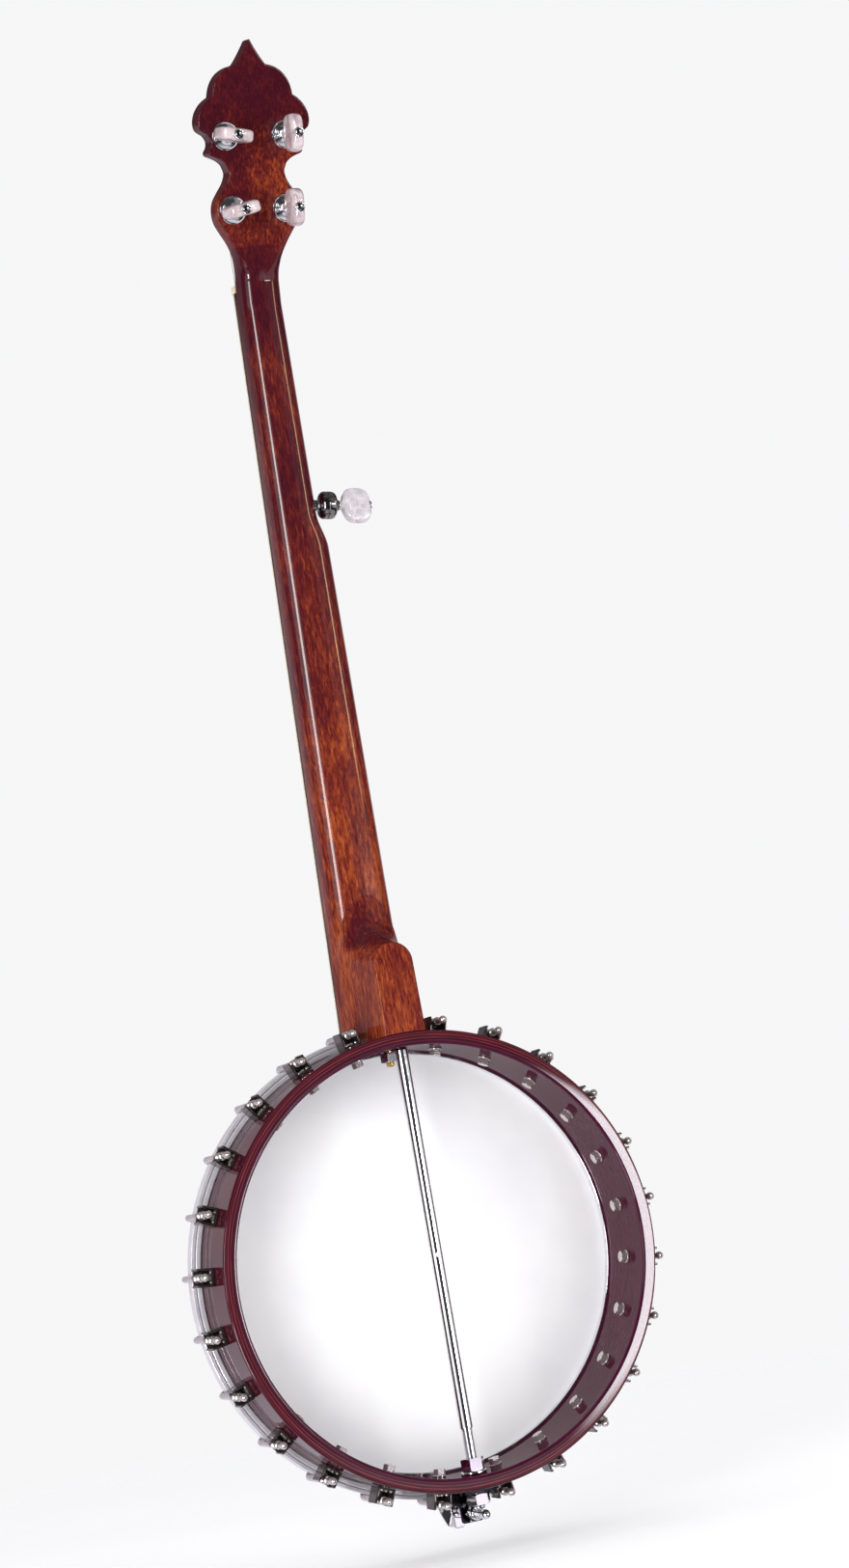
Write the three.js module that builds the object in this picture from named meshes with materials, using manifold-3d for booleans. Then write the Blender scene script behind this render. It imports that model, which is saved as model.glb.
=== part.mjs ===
// An open-back five-string banjo, built piece by piece.
//
// Pot frame, used by every shape below: the origin is the centre of the head on its inner face,
// +X is the treble side, +Y is the back of the instrument and +Z runs up the neck.
// The finished group is moved so that its origin is the place in the neck, just below the nut,
// where the yoke of a wall hanger or a floor stand carries the instrument.
// Lengths are millimetres and angles are radians.

import * as THREE from 'three';
import { mergeVertices } from 'three/addons/utils/BufferGeometryUtils.js';
import Module from 'manifold-3d';

const wasm = await Module();
wasm.setup();

// ---------------------------------------------------------------- driving dimensions

const INCH = 25.4;
const GAP = 0.3;                               // clearance between touching pieces

// pot
const POT_RADIUS = 5.5 * INCH;                 // an 11 inch head
const RIM_WALL = 8.7;
const RIM_FRONT = 5.4;                         // depth at which the wood starts, under the tone ring
const RIM_BACK = 60.3;                         // depth of the rim's flat back edge
const RIM_ROUND = 2.5;                         // rounding of the back edge
const RIM_NECKED = POT_RADIUS - 0.7;           // slimmer front of the rim, under the skin's skirt
const SKIRT_END = 7;
const RING_SEGMENTS = 48;
const HOOP_RADIUS = 145.6;
const HOOP_INNER = 143.3;
const HOOP_FRONT = -3.7;
const HOOP_BACK = 6;

// brackets: two rows of twelve, which leave gaps for the neck and for the tailpiece
const BRACKETS_PER_SIDE = 12;
const FIRST_BRACKET = THREE.MathUtils.degToRad(11.7);
const BRACKET_STEP = THREE.MathUtils.degToRad(14.56);
const HOOK_RADIUS = 148;                       // distance of each hook's shaft from the pot's axis
const HOOK_WIRE = 2;
const SHOE_DEPTH = 34;                         // depth of the shoe's bolt
const BOLT_WIRE = 2.2;

// neck
const SCALE_LENGTH = 26.25 * INCH;
const FRETS = 22;
const NUT_Z = 634;
const BOARD_END_Z = 147.5;
const NECK_SET = THREE.MathUtils.degToRad(2.54);
const BOARD_LIFT = 5.2;                        // how far the board's end stands in front of the head
const BOARD_THICKNESS = 5.5;
const TREBLE_AT_POT = 22.2;                    // half widths of the board
const TREBLE_AT_NUT = 16;
const BASS_AT_POT = 22.2;
const BASS_AT_STEP = 18.8;
const BASS_ABOVE_STEP = 13.8;
const BASS_AT_NUT = 12.6;
const STEP_LOW_Z = 458;                        // where the board narrows beside the fifth peg
const STEP_HIGH_Z = 482;
const NECK_DEPTH_AT_NUT = 16;
const NECK_DEPTH_AT_HEEL = 19;
const HEEL_TOP_Z = 196.5;
const TONGUE_HALF = 13;

// headstock
const HEADSTOCK_TILT = THREE.MathUtils.degToRad(20.5);
const HEADSTOCK_THICKNESS = 13;
const HEADSTOCK_X = 0.5;
const HEADSTOCK_LENGTH = 158.5;
const VENEER = 1.5;
const BLEND_LENGTH = 60;                       // where the round neck has become a flat board
const TUNER_HOLE = 5;
const UPPER_TUNERS = { x: 20, s: 98.5 };
const LOWER_TUNERS = { x: 18, s: 52 };

// fifth peg
const FIFTH_PEG_Z = 488;                       // where its axis crosses the middle of the neck
const FIFTH_PEG_Y = 24;
const FIFTH_PEG_LEAN = THREE.MathUtils.degToRad(5.3);

// coordinator rod and lag bolt
const ROD_Y = 45;
const ROD_WIRE = 4;
const ROD_THREAD = 3.6;
const ROD_THREAD_START = -103;
const ROD_HOLE_Z = 2.6;
const LAG_Y = 20;
const LAG_WIRE = 2.8;

// strings
const BRIDGE_Z = NUT_Z - SCALE_LENGTH * Math.cos(NECK_SET);
const BRIDGE_TOP = -16.4;
const STRING_WIRE = 0.3;
const TAIL_BOLT_Z = -155;

// ---------------------------------------------------------------- materials

const surface = (color, roughness, metalness) => () =>
  new THREE.MeshStandardMaterial({ color, roughness, metalness });
const mahogany = surface(0x6b2a14, 0.25, 0);
const mapleRim = surface(0x5a1c26, 0.25, 0);
const rosewood = surface(0x2b1a14, 0.45, 0);
const chrome = surface(0xd8d8dc, 0.12, 1);
const blackChrome = surface(0x222226, 0.12, 1);
const pearloid = surface(0xdccfce, 0.3, 0);
const bone = surface(0xf4ead8, 0.4, 0);
const frostedSkin = surface(0xf1f1f1, 0.7, 0);
const maple = surface(0xd9b98a, 0.5, 0);
const steelWire = surface(0xc9c9c9, 0.2, 1);

// ---------------------------------------------------------------- shape helpers

const banjo = new THREE.Group();

function add(name, geometry, material, parent = banjo) {
  const mesh = new THREE.Mesh(geometry, material());
  mesh.name = name;
  parent.add(mesh);
  return mesh;
}

// A three.js geometry as a manifold solid.
function solid(geometry) {
  const bare = geometry.clone();
  bare.deleteAttribute('normal');
  bare.deleteAttribute('uv');
  const merged = mergeVertices(bare, 1e-4);
  return new wasm.Manifold(new wasm.Mesh({
    numProp: 3,
    vertProperties: new Float32Array(merged.attributes.position.array),
    triVerts: new Uint32Array(merged.index.array),
  }));
}

// A manifold solid as a three.js geometry.
function geometryOf(manifold) {
  const mesh = manifold.getMesh();
  const geometry = new THREE.BufferGeometry();
  geometry.setAttribute('position', new THREE.BufferAttribute(new Float32Array(mesh.vertProperties), 3));
  geometry.setIndex(new THREE.BufferAttribute(new Uint32Array(mesh.triVerts), 1));
  geometry.computeVertexNormals();
  return geometry;
}

function joined(...geometries) {
  return geometryOf(geometries.map(solid).reduce((whole, piece) => whole.add(piece)));
}

function cut(geometry, ...tools) {
  return geometryOf(tools.map(solid).reduce((whole, tool) => whole.subtract(tool), solid(geometry)));
}

// A closed ring or plug turned about Y from [radius, y] pairs. A profile that leaves the axis
// closes on itself.
function turned(profile, segments = RING_SEGMENTS) {
  const points = profile.map(([radius, y]) => new THREE.Vector2(radius, y));
  if (profile[0][0] > 0) {
    points.push(points[0].clone());
  }
  // LatheGeometry faces outwards when its profile rises on the outside
  const area = points.reduce((sum, p, i) => {
    const q = points[(i + 1) % points.length];
    return sum + p.x * q.y - q.x * p.y;
  }, 0);
  return new THREE.LatheGeometry(area > 0 ? points : points.reverse(), segments);
}

// A solid skin over closed sections that all have the same number of points, with flat ends.
function loft(sections) {
  const count = sections[0].length;
  const positions = [];
  const index = [];
  for (const section of sections) {
    for (const p of section) {
      positions.push(p.x, p.y, p.z);
    }
  }
  for (let i = 0; i + 1 < sections.length; i += 1) {
    for (let j = 0; j < count; j += 1) {
      const a = i * count + j;
      const b = i * count + (j + 1) % count;
      index.push(a, b, a + count, b, b + count, a + count);
    }
  }
  const capAt = (ring, flipped) => {
    for (let j = 1; j + 1 < count; j += 1) {
      const [b, c] = flipped ? [j + 1, j] : [j, j + 1];
      index.push(ring * count, ring * count + b, ring * count + c);
    }
  };
  capAt(0, true);
  capAt(sections.length - 1, false);
  const geometry = new THREE.BufferGeometry();
  geometry.setAttribute('position', new THREE.Float32BufferAttribute(positions, 3));
  geometry.setIndex(index);
  if (solid(geometry).volume() < 0) {
    const flipped = [];
    for (let i = 0; i < index.length; i += 3) {
      flipped.push(index[i], index[i + 2], index[i + 1]);
    }
    geometry.setIndex(flipped);
  }
  geometry.computeVertexNormals();
  return geometry;
}

// A round bar of constant thickness through a list of points.
function bar(points, radius, sides) {
  const sections = points.map((point, i) => {
    const before = points[Math.max(i - 1, 0)];
    const after = points[Math.min(i + 1, points.length - 1)];
    const along = after.clone().sub(before).normalize();
    const helper = Math.abs(along.x) < 0.9 ? new THREE.Vector3(1, 0, 0) : new THREE.Vector3(0, 0, 1);
    const side = helper.clone().cross(along).normalize();
    const other = along.clone().cross(side);
    const section = [];
    for (let k = 0; k < sides; k += 1) {
      const angle = 2 * Math.PI * k / sides;
      section.push(point.clone()
        .addScaledVector(side, radius * Math.cos(angle))
        .addScaledVector(other, radius * Math.sin(angle)));
    }
    return section;
  });
  return loft(sections);
}

// A plate in the X-Z plane, from depth `front` to depth `back`.
function plate(shape, front, back, curveSegments = 6) {
  const geometry = new THREE.ExtrudeGeometry(shape, {
    depth: back - front, bevelEnabled: false, curveSegments,
  });
  geometry.rotateX(Math.PI / 2);
  geometry.translate(0, back, 0);
  return geometry;
}

// A drill bit: a plain cylinder with its axis along Y, turned and placed where it is needed.
function drill(radius, length, sides = 8) {
  return new THREE.CylinderGeometry(radius, radius, length, sides);
}

const boardFaceY = (z) => -BOARD_LIFT + (z - BOARD_END_Z) * Math.tan(NECK_SET);
const mix = (a, b, t) => a + (b - a) * t;
const smooth = (t) => t * t * (3 - 2 * t);
const between = (a, b, v) => THREE.MathUtils.clamp((v - a) / (b - a), 0, 1);

// ---------------------------------------------------------------- pot

function woodRim() {
  const inner = POT_RADIUS - RIM_WALL;
  const back = [];
  const steps = 2;
  for (let i = 0; i <= steps; i += 1) {
    const a = Math.PI / 2 * i / steps;
    back.push([POT_RADIUS - RIM_ROUND * (1 - Math.cos(a)), RIM_BACK - RIM_ROUND * (1 - Math.sin(a))]);
  }
  for (let i = 0; i <= steps; i += 1) {
    const a = Math.PI / 2 * (1 - i / steps);
    back.push([inner + RIM_ROUND * (1 - Math.cos(a)), RIM_BACK - RIM_ROUND * (1 - Math.sin(a))]);
  }
  const body = turned([
    [inner, RIM_FRONT], [RIM_NECKED, RIM_FRONT], [RIM_NECKED, SKIRT_END + 1],
    [POT_RADIUS, SKIRT_END + 2], ...back,
  ]);
  const middle = POT_RADIUS - RIM_WALL / 2;
  const holes = bracketAngles().map((angle) => drill(BOLT_WIRE + GAP, 2 * RIM_WALL, 6)
    .rotateX(Math.PI / 2).translate(0, SHOE_DEPTH, middle).rotateY(angle));
  const rodHoles = drill(ROD_WIRE + 2 * GAP, 3 * POT_RADIUS, 12)
    .rotateX(Math.PI / 2)
    .translate(0, ROD_Y, 0);
  const lagHole = drill(LAG_WIRE + GAP, 2 * RIM_WALL, 10).rotateX(Math.PI / 2).translate(0, LAG_Y, middle);
  add('wood_rim', cut(body, ...holes, rodHoles, lagHole), mapleRim);
}

function toneRing() {
  const inner = POT_RADIUS - RIM_WALL - 1.5;
  add('tone_ring', turned([
    [inner, RIM_FRONT - GAP], [inner, 1.2], [inner + 1, 0.35], [RIM_NECKED - 2.1, 0.35],
    [RIM_NECKED - 0.5, 1.1], [RIM_NECKED, 2.2], [RIM_NECKED, RIM_FRONT - GAP],
  ]), chrome);
}

// The skin and the flesh hoop that it is crimped into are one piece.
function head() {
  const skin = 0.5;
  const skirt = RIM_NECKED + 0.35;
  const fleshHoopOuter = HOOP_INNER - 0.4;
  add('head', turned([
    [0, -skin], [RIM_NECKED - 1.6, -skin], [skirt + 0.1, 0.3], [skirt + skin, 1.3], [fleshHoopOuter, 1.3],
    [fleshHoopOuter, SKIRT_END], [skirt, SKIRT_END], [skirt, 1.6], [RIM_NECKED - 0.4, 0.7],
    [RIM_NECKED - 2, 0], [0, 0],
  ]), frostedSkin);
}

function tensionHoop() {
  const lip = POT_RADIUS + 0.7;
  add('tension_hoop', turned([
    [lip, -1.9], [HOOP_INNER, -1.9], [HOOP_INNER, HOOP_FRONT], [HOOP_RADIUS, HOOP_FRONT],
    [HOOP_RADIUS, HOOP_BACK], [HOOP_INNER, HOOP_BACK], [HOOP_INNER, 0.9], [lip, 0.9],
  ]), chrome);
}

// Angles about the pot's axis, from the neck: first the bass side, then on round the treble side.
function bracketAngles() {
  const angles = [];
  for (let i = 0; i < BRACKETS_PER_SIDE; i += 1) {
    angles.push(-(FIRST_BRACKET + i * BRACKET_STEP));
  }
  for (let i = BRACKETS_PER_SIDE - 1; i >= 0; i -= 1) {
    angles.push(FIRST_BRACKET + i * BRACKET_STEP);
  }
  return angles;
}

// One tension bracket, drawn where the neck is: a shoe on the rim with its bolt, and a hook with its nut.
function bracketGeometry() {
  const halfWidth = 5.5;
  const shoeFoot = POT_RADIUS + GAP;
  const shoeTop = HOOK_RADIUS + 1.8;
  const corner = 2.4;
  const shoeShape = new THREE.Shape([
    new THREE.Vector2(-halfWidth, shoeFoot), new THREE.Vector2(halfWidth, shoeFoot),
    new THREE.Vector2(halfWidth, shoeTop - corner), new THREE.Vector2(halfWidth - corner, shoeTop),
    new THREE.Vector2(corner - halfWidth, shoeTop), new THREE.Vector2(-halfWidth, shoeTop - corner),
  ]);
  const shoe = plate(shoeShape, SHOE_DEPTH - 11.5, SHOE_DEPTH + 10);

  const bend = 3.6;
  const bendCentre = { y: HOOP_FRONT + 1, z: HOOK_RADIUS - bend };
  const path = [new THREE.Vector3(0, SHOE_DEPTH, HOOK_RADIUS)];
  for (const degrees of [0, 50, 110]) {
    const a = THREE.MathUtils.degToRad(degrees);
    path.push(new THREE.Vector3(0, bendCentre.y - bend * Math.sin(a), bendCentre.z + bend * Math.cos(a)));
  }
  const hook = bar(path, HOOK_WIRE, 6);

  const ballY = 47.6;
  const nut = turned([
    [0, SHOE_DEPTH], [3.2, SHOE_DEPTH], [3.2, 44.8], [2.7, ballY], [1.4, 50.2], [0, 50.2],
  ], 6).translate(0, 0, HOOK_RADIUS);

  const headTop = POT_RADIUS - RIM_WALL - 0.6;
  const bolt = turned([
    [0, shoeFoot + 1], [BOLT_WIRE, shoeFoot + 1], [BOLT_WIRE, headTop], [3.8, headTop],
    [3.8, headTop - 4.4], [2.2, headTop - 5.2], [0, headTop - 5.2],
  ], 6).rotateX(Math.PI / 2).translate(0, SHOE_DEPTH, 0);
  return joined(shoe, hook, nut, bolt);
}

function brackets() {
  const geometry = bracketGeometry();
  bracketAngles().forEach((angle, i) => {
    const name = `bracket_${String(i + 1).padStart(2, '0')}`;
    add(name, geometry, chrome).rotation.y = angle;
  });
}

// ---------------------------------------------------------------- neck

const trebleHalf = (z) => mix(TREBLE_AT_POT, TREBLE_AT_NUT, (z - BOARD_END_Z) / (NUT_Z - BOARD_END_Z));

function bassHalf(z) {
  if (z < STEP_LOW_Z) {
    return mix(BASS_AT_POT, BASS_AT_STEP, (z - BOARD_END_Z) / (STEP_LOW_Z - BOARD_END_Z));
  }
  if (z > STEP_HIGH_Z) {
    return mix(BASS_ABOVE_STEP, BASS_AT_NUT, between(STEP_HIGH_Z, NUT_Z, z));
  }
  return mix(BASS_AT_STEP, BASS_ABOVE_STEP, smooth(between(STEP_LOW_Z, STEP_HIGH_Z, z)));
}

// One cross-section of the neck in a plane of constant z: a flat front, a flat back of half width
// `flat`, and sides that swell between them.
function neckSection(z, centre, half, flat, front, back) {
  const sideSteps = 7;
  const swell = 0.8;
  const points = [];
  for (let i = 0; i <= sideSteps; i += 1) {
    const a = Math.PI / 2 * i / sideSteps;
    const x = flat + (half - flat) * Math.cos(a) ** swell;
    points.push(new THREE.Vector3(centre + x, mix(front, back, Math.sin(a) ** swell), z));
  }
  for (let i = sideSteps; i >= 0; i -= 1) {
    const a = Math.PI / 2 * i / sideSteps;
    const x = flat + (half - flat) * Math.cos(a) ** swell;
    points.push(new THREE.Vector3(centre - x, mix(front, back, Math.sin(a) ** swell), z));
  }
  return points;
}

// Half width of the headstock's lower lobe, by the distance s up the headstock from the nut.
const LOWER_LOBE = new THREE.SplineCurve([
  [14.8, 0], [14.7, 12], [16, 22], [19.6, 30.6], [24.2, 38], [27.6, 44.5], [28.6, 51], [27.6, 57.5],
  [24.2, 63.5], [20.6, 69], [18.7, 75], [20.2, 80],
].map(([x, s]) => new THREE.Vector2(x, s)));

function lobeHalf(s) {
  let low = 0;
  let high = 1;
  for (let i = 0; i < 24; i += 1) {
    const middle = (low + high) / 2;
    if (LOWER_LOBE.getPoint(middle).y < s) {
      low = middle;
    } else {
      high = middle;
    }
  }
  return LOWER_LOBE.getPoint(low).x;
}

// The right-hand half of the headstock's outline from height `start` up to the pointed tip.
function headstockSide(start) {
  const side = LOWER_LOBE.getPoints(22).filter((p) => p.y > start);
  const path = new THREE.Path();
  path.moveTo(20.2, 80);
  path.quadraticCurveTo(22, 83.6, 30, 86.2);
  path.lineTo(31.8, 89);
  path.quadraticCurveTo(26.8, 95.6, 33, 100.6);
  path.lineTo(36.8, 102.6);
  path.bezierCurveTo(38.8, 108, 37, 118, 27, 123.5);
  path.bezierCurveTo(26, 133, 21, 141, 9.8, 142.8);
  path.quadraticCurveTo(5, 149, 0, HEADSTOCK_LENGTH);
  return [...side, ...path.getPoints(3).slice(1)];
}

function headstockShape(start) {
  const side = headstockSide(start);
  const low = lobeHalf(start);
  const mirrored = side.slice(0, -1).reverse().map((p) => new THREE.Vector2(-p.x, p.y));
  return new THREE.Shape([
    new THREE.Vector2(-low, start), new THREE.Vector2(low, start), ...side, ...mirrored,
  ]);
}

// The frame of the headstock: its origin is on the front of the wood at the nut, +Z runs up the
// headstock and +Y goes through it to its back.
const headstockOrigin = new THREE.Vector3(
  HEADSTOCK_X, boardFaceY(NUT_Z) + BOARD_THICKNESS + GAP + 1.2, NUT_Z,
);
const headstock = new THREE.Group();
headstock.position.copy(headstockOrigin);
headstock.rotation.x = -HEADSTOCK_TILT;
headstock.updateMatrix();
banjo.add(headstock);

// The frame of the fifth peg, which lies across the neck: +Y runs out along its axis.
const fifthPeg = new THREE.Group();
fifthPeg.position.set(0, FIFTH_PEG_Y, FIFTH_PEG_Z);
fifthPeg.rotation.z = Math.PI / 2;
fifthPeg.rotation.order = 'YZX';
fifthPeg.rotation.y = -FIFTH_PEG_LEAN;
fifthPeg.updateMatrix();
banjo.add(fifthPeg);

const tunerPlaces = [
  { x: UPPER_TUNERS.x, s: UPPER_TUNERS.s, turn: -9 },
  { x: -UPPER_TUNERS.x, s: UPPER_TUNERS.s, turn: 90 },
  { x: LOWER_TUNERS.x, s: LOWER_TUNERS.s, turn: 13 },
  { x: -LOWER_TUNERS.x, s: LOWER_TUNERS.s, turn: 90 },
];

function neckShaft() {
  const sections = [];
  for (const z of [120, 215, 330, 440, 458, 463, 468, 472, 477, 482, 540, 600, 625]) {
    const front = boardFaceY(z) + BOARD_THICKNESS + GAP;
    const depth = mix(NECK_DEPTH_AT_HEEL, NECK_DEPTH_AT_NUT, between(215, NUT_Z, z));
    const half = (trebleHalf(z) + bassHalf(z)) / 2;
    sections.push(neckSection(z, (trebleHalf(z) - bassHalf(z)) / 2, half, 0.4, front, front + depth));
  }
  const boardCentre = (TREBLE_AT_NUT - BASS_AT_NUT) / 2;
  for (const s of [0, 6, 14, 22, 30, 38, 46, 53, BLEND_LENGTH]) {
    const z = NUT_Z + s * Math.cos(HEADSTOCK_TILT);
    const share = between(0, 40, s);
    const front = headstockOrigin.y + (z - NUT_Z) * Math.tan(HEADSTOCK_TILT);
    const neckBack = boardFaceY(z) + BOARD_THICKNESS + GAP + NECK_DEPTH_AT_NUT;
    const boardBack = front + HEADSTOCK_THICKNESS / Math.cos(HEADSTOCK_TILT);
    const half = lobeHalf(s);
    const flat = mix(0.4, half - 0.3, between(10, BLEND_LENGTH, s) ** 0.85);
    sections.push(neckSection(z, mix(boardCentre, HEADSTOCK_X, share), half, flat,
      front, Math.max(boardBack, neckBack)));
  }
  return loft(sections);
}

// The heel: a stack of tongue-shaped outlines, from inside the shaft back to the flat tongue.
function heel() {
  const levels = [
    { y: 6, half: 21.4, top: 216 },
    { y: 15, half: 20.2, top: 212 },
    { y: 19, half: 19.4, top: 209.5 },
    { y: 23, half: 18.6, top: 207 },
    { y: 28, half: 17.6, top: 203.5 },
    { y: 36, half: 16, top: 199.8 },
    { y: 47, half: 14.4, top: 197.2 },
    { y: 57.6, half: TONGUE_HALF, top: HEEL_TOP_Z },
    { y: 58.9, half: TONGUE_HALF - 0.5, top: HEEL_TOP_Z - 0.5 },
    { y: 59.6, half: TONGUE_HALF - 1.6, top: HEEL_TOP_Z - 1.6 },
  ];
  const arcSteps = 10;
  return loft(levels.map(({ y, half, top }) => {
    const points = [new THREE.Vector3(half + 1, y, 120)];
    for (let i = 0; i <= arcSteps; i += 1) {
      const a = Math.PI * i / arcSteps;
      points.push(new THREE.Vector3(half * Math.cos(a), y, top - half + half * Math.sin(a)));
    }
    points.push(new THREE.Vector3(-half - 1, y, 120));
    return points;
  }));
}

function neck() {
  const head = plate(headstockShape(BLEND_LENGTH - 4), 0, HEADSTOCK_THICKNESS, 5)
    .applyMatrix4(headstock.matrix);
  const potHole = turned([[0, 8.9], [POT_RADIUS + GAP, 8.9], [POT_RADIUS + GAP, 70], [0, 70]], 96);
  const hoopHole = turned([[0, -20], [HOOP_RADIUS + 0.5, -20], [HOOP_RADIUS + 0.5, 9.2], [0, 9.2]], 96);
  const pegHoles = tunerPlaces.map(({ x, s }) => drill(TUNER_HOLE, 60, 12)
    .translate(x, 0, s).applyMatrix4(headstock.matrix));
  const fifthHole = drill(3.9, 20).translate(0, 15, 0).applyMatrix4(fifthPeg.matrix);
  const rodHole = drill(3.3, 50).rotateX(Math.PI / 2).translate(0, ROD_Y, POT_RADIUS);
  const lagHole = drill(LAG_WIRE + GAP, 50).rotateX(Math.PI / 2).translate(0, LAG_Y, POT_RADIUS);
  add('neck', cut(joined(neckShaft(), heel(), head), potHole, hoopHole, ...pegHoles, fifthHole,
    rodHole, lagHole), mahogany);
}

function veneer() {
  const start = 7;
  const face = plate(headstockShape(start), -VENEER - GAP, -GAP, 5);
  const holes = tunerPlaces.map(({ x, s }) => drill(TUNER_HOLE, 20, 12).translate(x, 0, s));
  add('headstock_veneer', cut(face, ...holes), rosewood, headstock);
}

// The frame of the fingerboard: origin at the nut on the board's face, +Z up the neck.
const board = new THREE.Group();
board.position.set(0, boardFaceY(NUT_Z), NUT_Z);
board.rotation.x = -NECK_SET;
banjo.add(board);

function fingerboard() {
  const along = (z) => (z - NUT_Z) / Math.cos(NECK_SET);
  const bassZ = [BOARD_END_Z, STEP_LOW_Z, 463, 468, 472, 477, STEP_HIGH_Z, NUT_Z - GAP];
  const outline = bassZ.map((z) => new THREE.Vector2(-bassHalf(z), along(z)));
  outline.push(new THREE.Vector2(TREBLE_AT_NUT, along(NUT_Z - GAP)));
  outline.push(new THREE.Vector2(TREBLE_AT_POT, along(BOARD_END_Z)));
  const wood = plate(new THREE.Shape(outline.reverse()), 0, BOARD_THICKNESS);
  const frets = [];
  for (let n = 1; n <= FRETS; n += 1) {
    const down = SCALE_LENGTH * (1 - 2 ** (-n / 12));
    const z = NUT_Z - down * Math.cos(NECK_SET);
    const left = -bassHalf(z) + 1.8;
    const right = trebleHalf(z) - 1.8;
    frets.push(new THREE.BoxGeometry(right - left, 1.9, 1.6).translate((left + right) / 2, 0, -down));
  }
  add('fingerboard', joined(wood, ...frets), rosewood, board);
}

function stringNut() {
  const width = TREBLE_AT_NUT + BASS_AT_NUT;
  const height = BOARD_THICKNESS + 1.2;
  const nut = new THREE.BoxGeometry(width, height, 5.2)
    .translate((TREBLE_AT_NUT - BASS_AT_NUT) / 2, height / 2 - 1.2, 2.6 + GAP / 2);
  add('string_nut', nut, bone, board);
}

// ---------------------------------------------------------------- tuners

const BUTTON_LENGTH = 22.5;
const FIFTH_BUTTON_LENGTH = 19.3;
const BUTTON_WIDTH = 24;
const BUTTON_THICKNESS = 8;

// A paddle button on its shaft. The axis is Y and the shaft starts at y = 0.
function buttonGeometry(shaftRadius, paddleStart, length) {
  const w = BUTTON_WIDTH / 2;
  const end = paddleStart + length;
  const shape = new THREE.Shape();
  shape.moveTo(-4, paddleStart);
  shape.lineTo(4, paddleStart);
  shape.bezierCurveTo(w - 2, paddleStart, w, paddleStart + 5, w, paddleStart + 11);
  shape.bezierCurveTo(w, end - 4, w - 3, end, w - 7, end);
  shape.lineTo(7 - w, end);
  shape.bezierCurveTo(3 - w, end, -w, end - 4, -w, paddleStart + 11);
  shape.bezierCurveTo(-w, paddleStart + 5, 2 - w, paddleStart, -4, paddleStart);
  const bevel = 1.6;
  const paddle = new THREE.ExtrudeGeometry(shape, {
    depth: BUTTON_THICKNESS - 2 * bevel, bevelThickness: bevel, bevelSize: bevel, bevelOffset: -bevel,
    bevelSegments: 1, curveSegments: 4,
  }).translate(0, 0, bevel - BUTTON_THICKNESS / 2);
  const shaft = turned([
    [0, 0], [shaftRadius, 0], [shaftRadius, paddleStart + 2], [0, paddleStart + 2],
  ], 10);
  const screw = turned([[0, end - 2], [2.6, end - 2], [2.6, end + 0.3], [1.4, end + 1], [0, end + 1]], 8);
  return joined(paddle, shaft, screw);
}

// A planetary tuner: the housing's sleeve goes through the headstock to a bushing on the front.
function tuner(number, place) {
  const back = HEADSTOCK_THICKNESS + GAP;
  const front = -VENEER - 2 * GAP;
  const group = new THREE.Group();
  group.position.set(place.x, 0, place.s);
  headstock.add(group);

  const housing = turned([
    [3.3, front - 3], [5.2, front - 3], [6.2, front - 2], [6.2, front], [4.4, front], [4.4, back],
    [8.8, back], [8.8, back + 1.6], [7.6, back + 2.2], [7.4, back + 4], [5.6, back + 5.4], [3.3, back + 5.4],
  ], 12);
  add(`tuner_${number}_housing`, housing, chrome, group);

  const post = turned([
    [0, -22], [2.6, -22], [3, -21.2], [2.4, -17], [2.4, -14], [3, -9], [3, back - 1], [0, back - 1],
  ], 10);
  add(`tuner_${number}_post`, post, chrome, group);

  const shaftStart = back - 0.6;
  const button = buttonGeometry(3, 19.7 - shaftStart, BUTTON_LENGTH);
  const mesh = add(`tuner_${number}_button`, button, pearloid, group);
  mesh.position.y = shaftStart;
  mesh.rotation.y = THREE.MathUtils.degToRad(place.turn);
}

// The fifth peg's shank is pressed into the neck's side, its string post turns on a thin core
// outside the wood, and the gears are in the barrel beyond it.
function fifthTuner() {
  const barrel = 15.8;
  const barrelEnd = 26.4;
  const coreRadius = 1.6;
  const postRadius = 3.6;
  add('tuner_5_housing', turned([
    [0, 5], [postRadius, 5], [postRadius, 12.8], [coreRadius, 12.8], [coreRadius, barrel],
    [7.6, barrel], [9, barrel + 1.6], [9, barrelEnd - 2.4], [7, barrelEnd], [3.3, barrelEnd],
    [3.3, barrelEnd - 4], [0, barrelEnd - 4],
  ], 14), chrome, fifthPeg);
  add('tuner_5_post', turned([
    [coreRadius + GAP, 13.4], [postRadius, 13.4], [2.7, 14], [2.7, 14.9],
    [postRadius, barrel - GAP], [coreRadius + GAP, barrel - GAP],
  ], 10), chrome, fifthPeg);
  const shaftStart = barrelEnd - 3.7;
  const paddle = buttonGeometry(3, 31.1 - shaftStart, FIFTH_BUTTON_LENGTH);
  const button = add('tuner_5_button', paddle, pearloid, fifthPeg);
  button.position.y = shaftStart;
  button.rotation.y = THREE.MathUtils.degToRad(75);
}

// ---------------------------------------------------------------- rod, lag bolt and tailpiece

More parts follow.
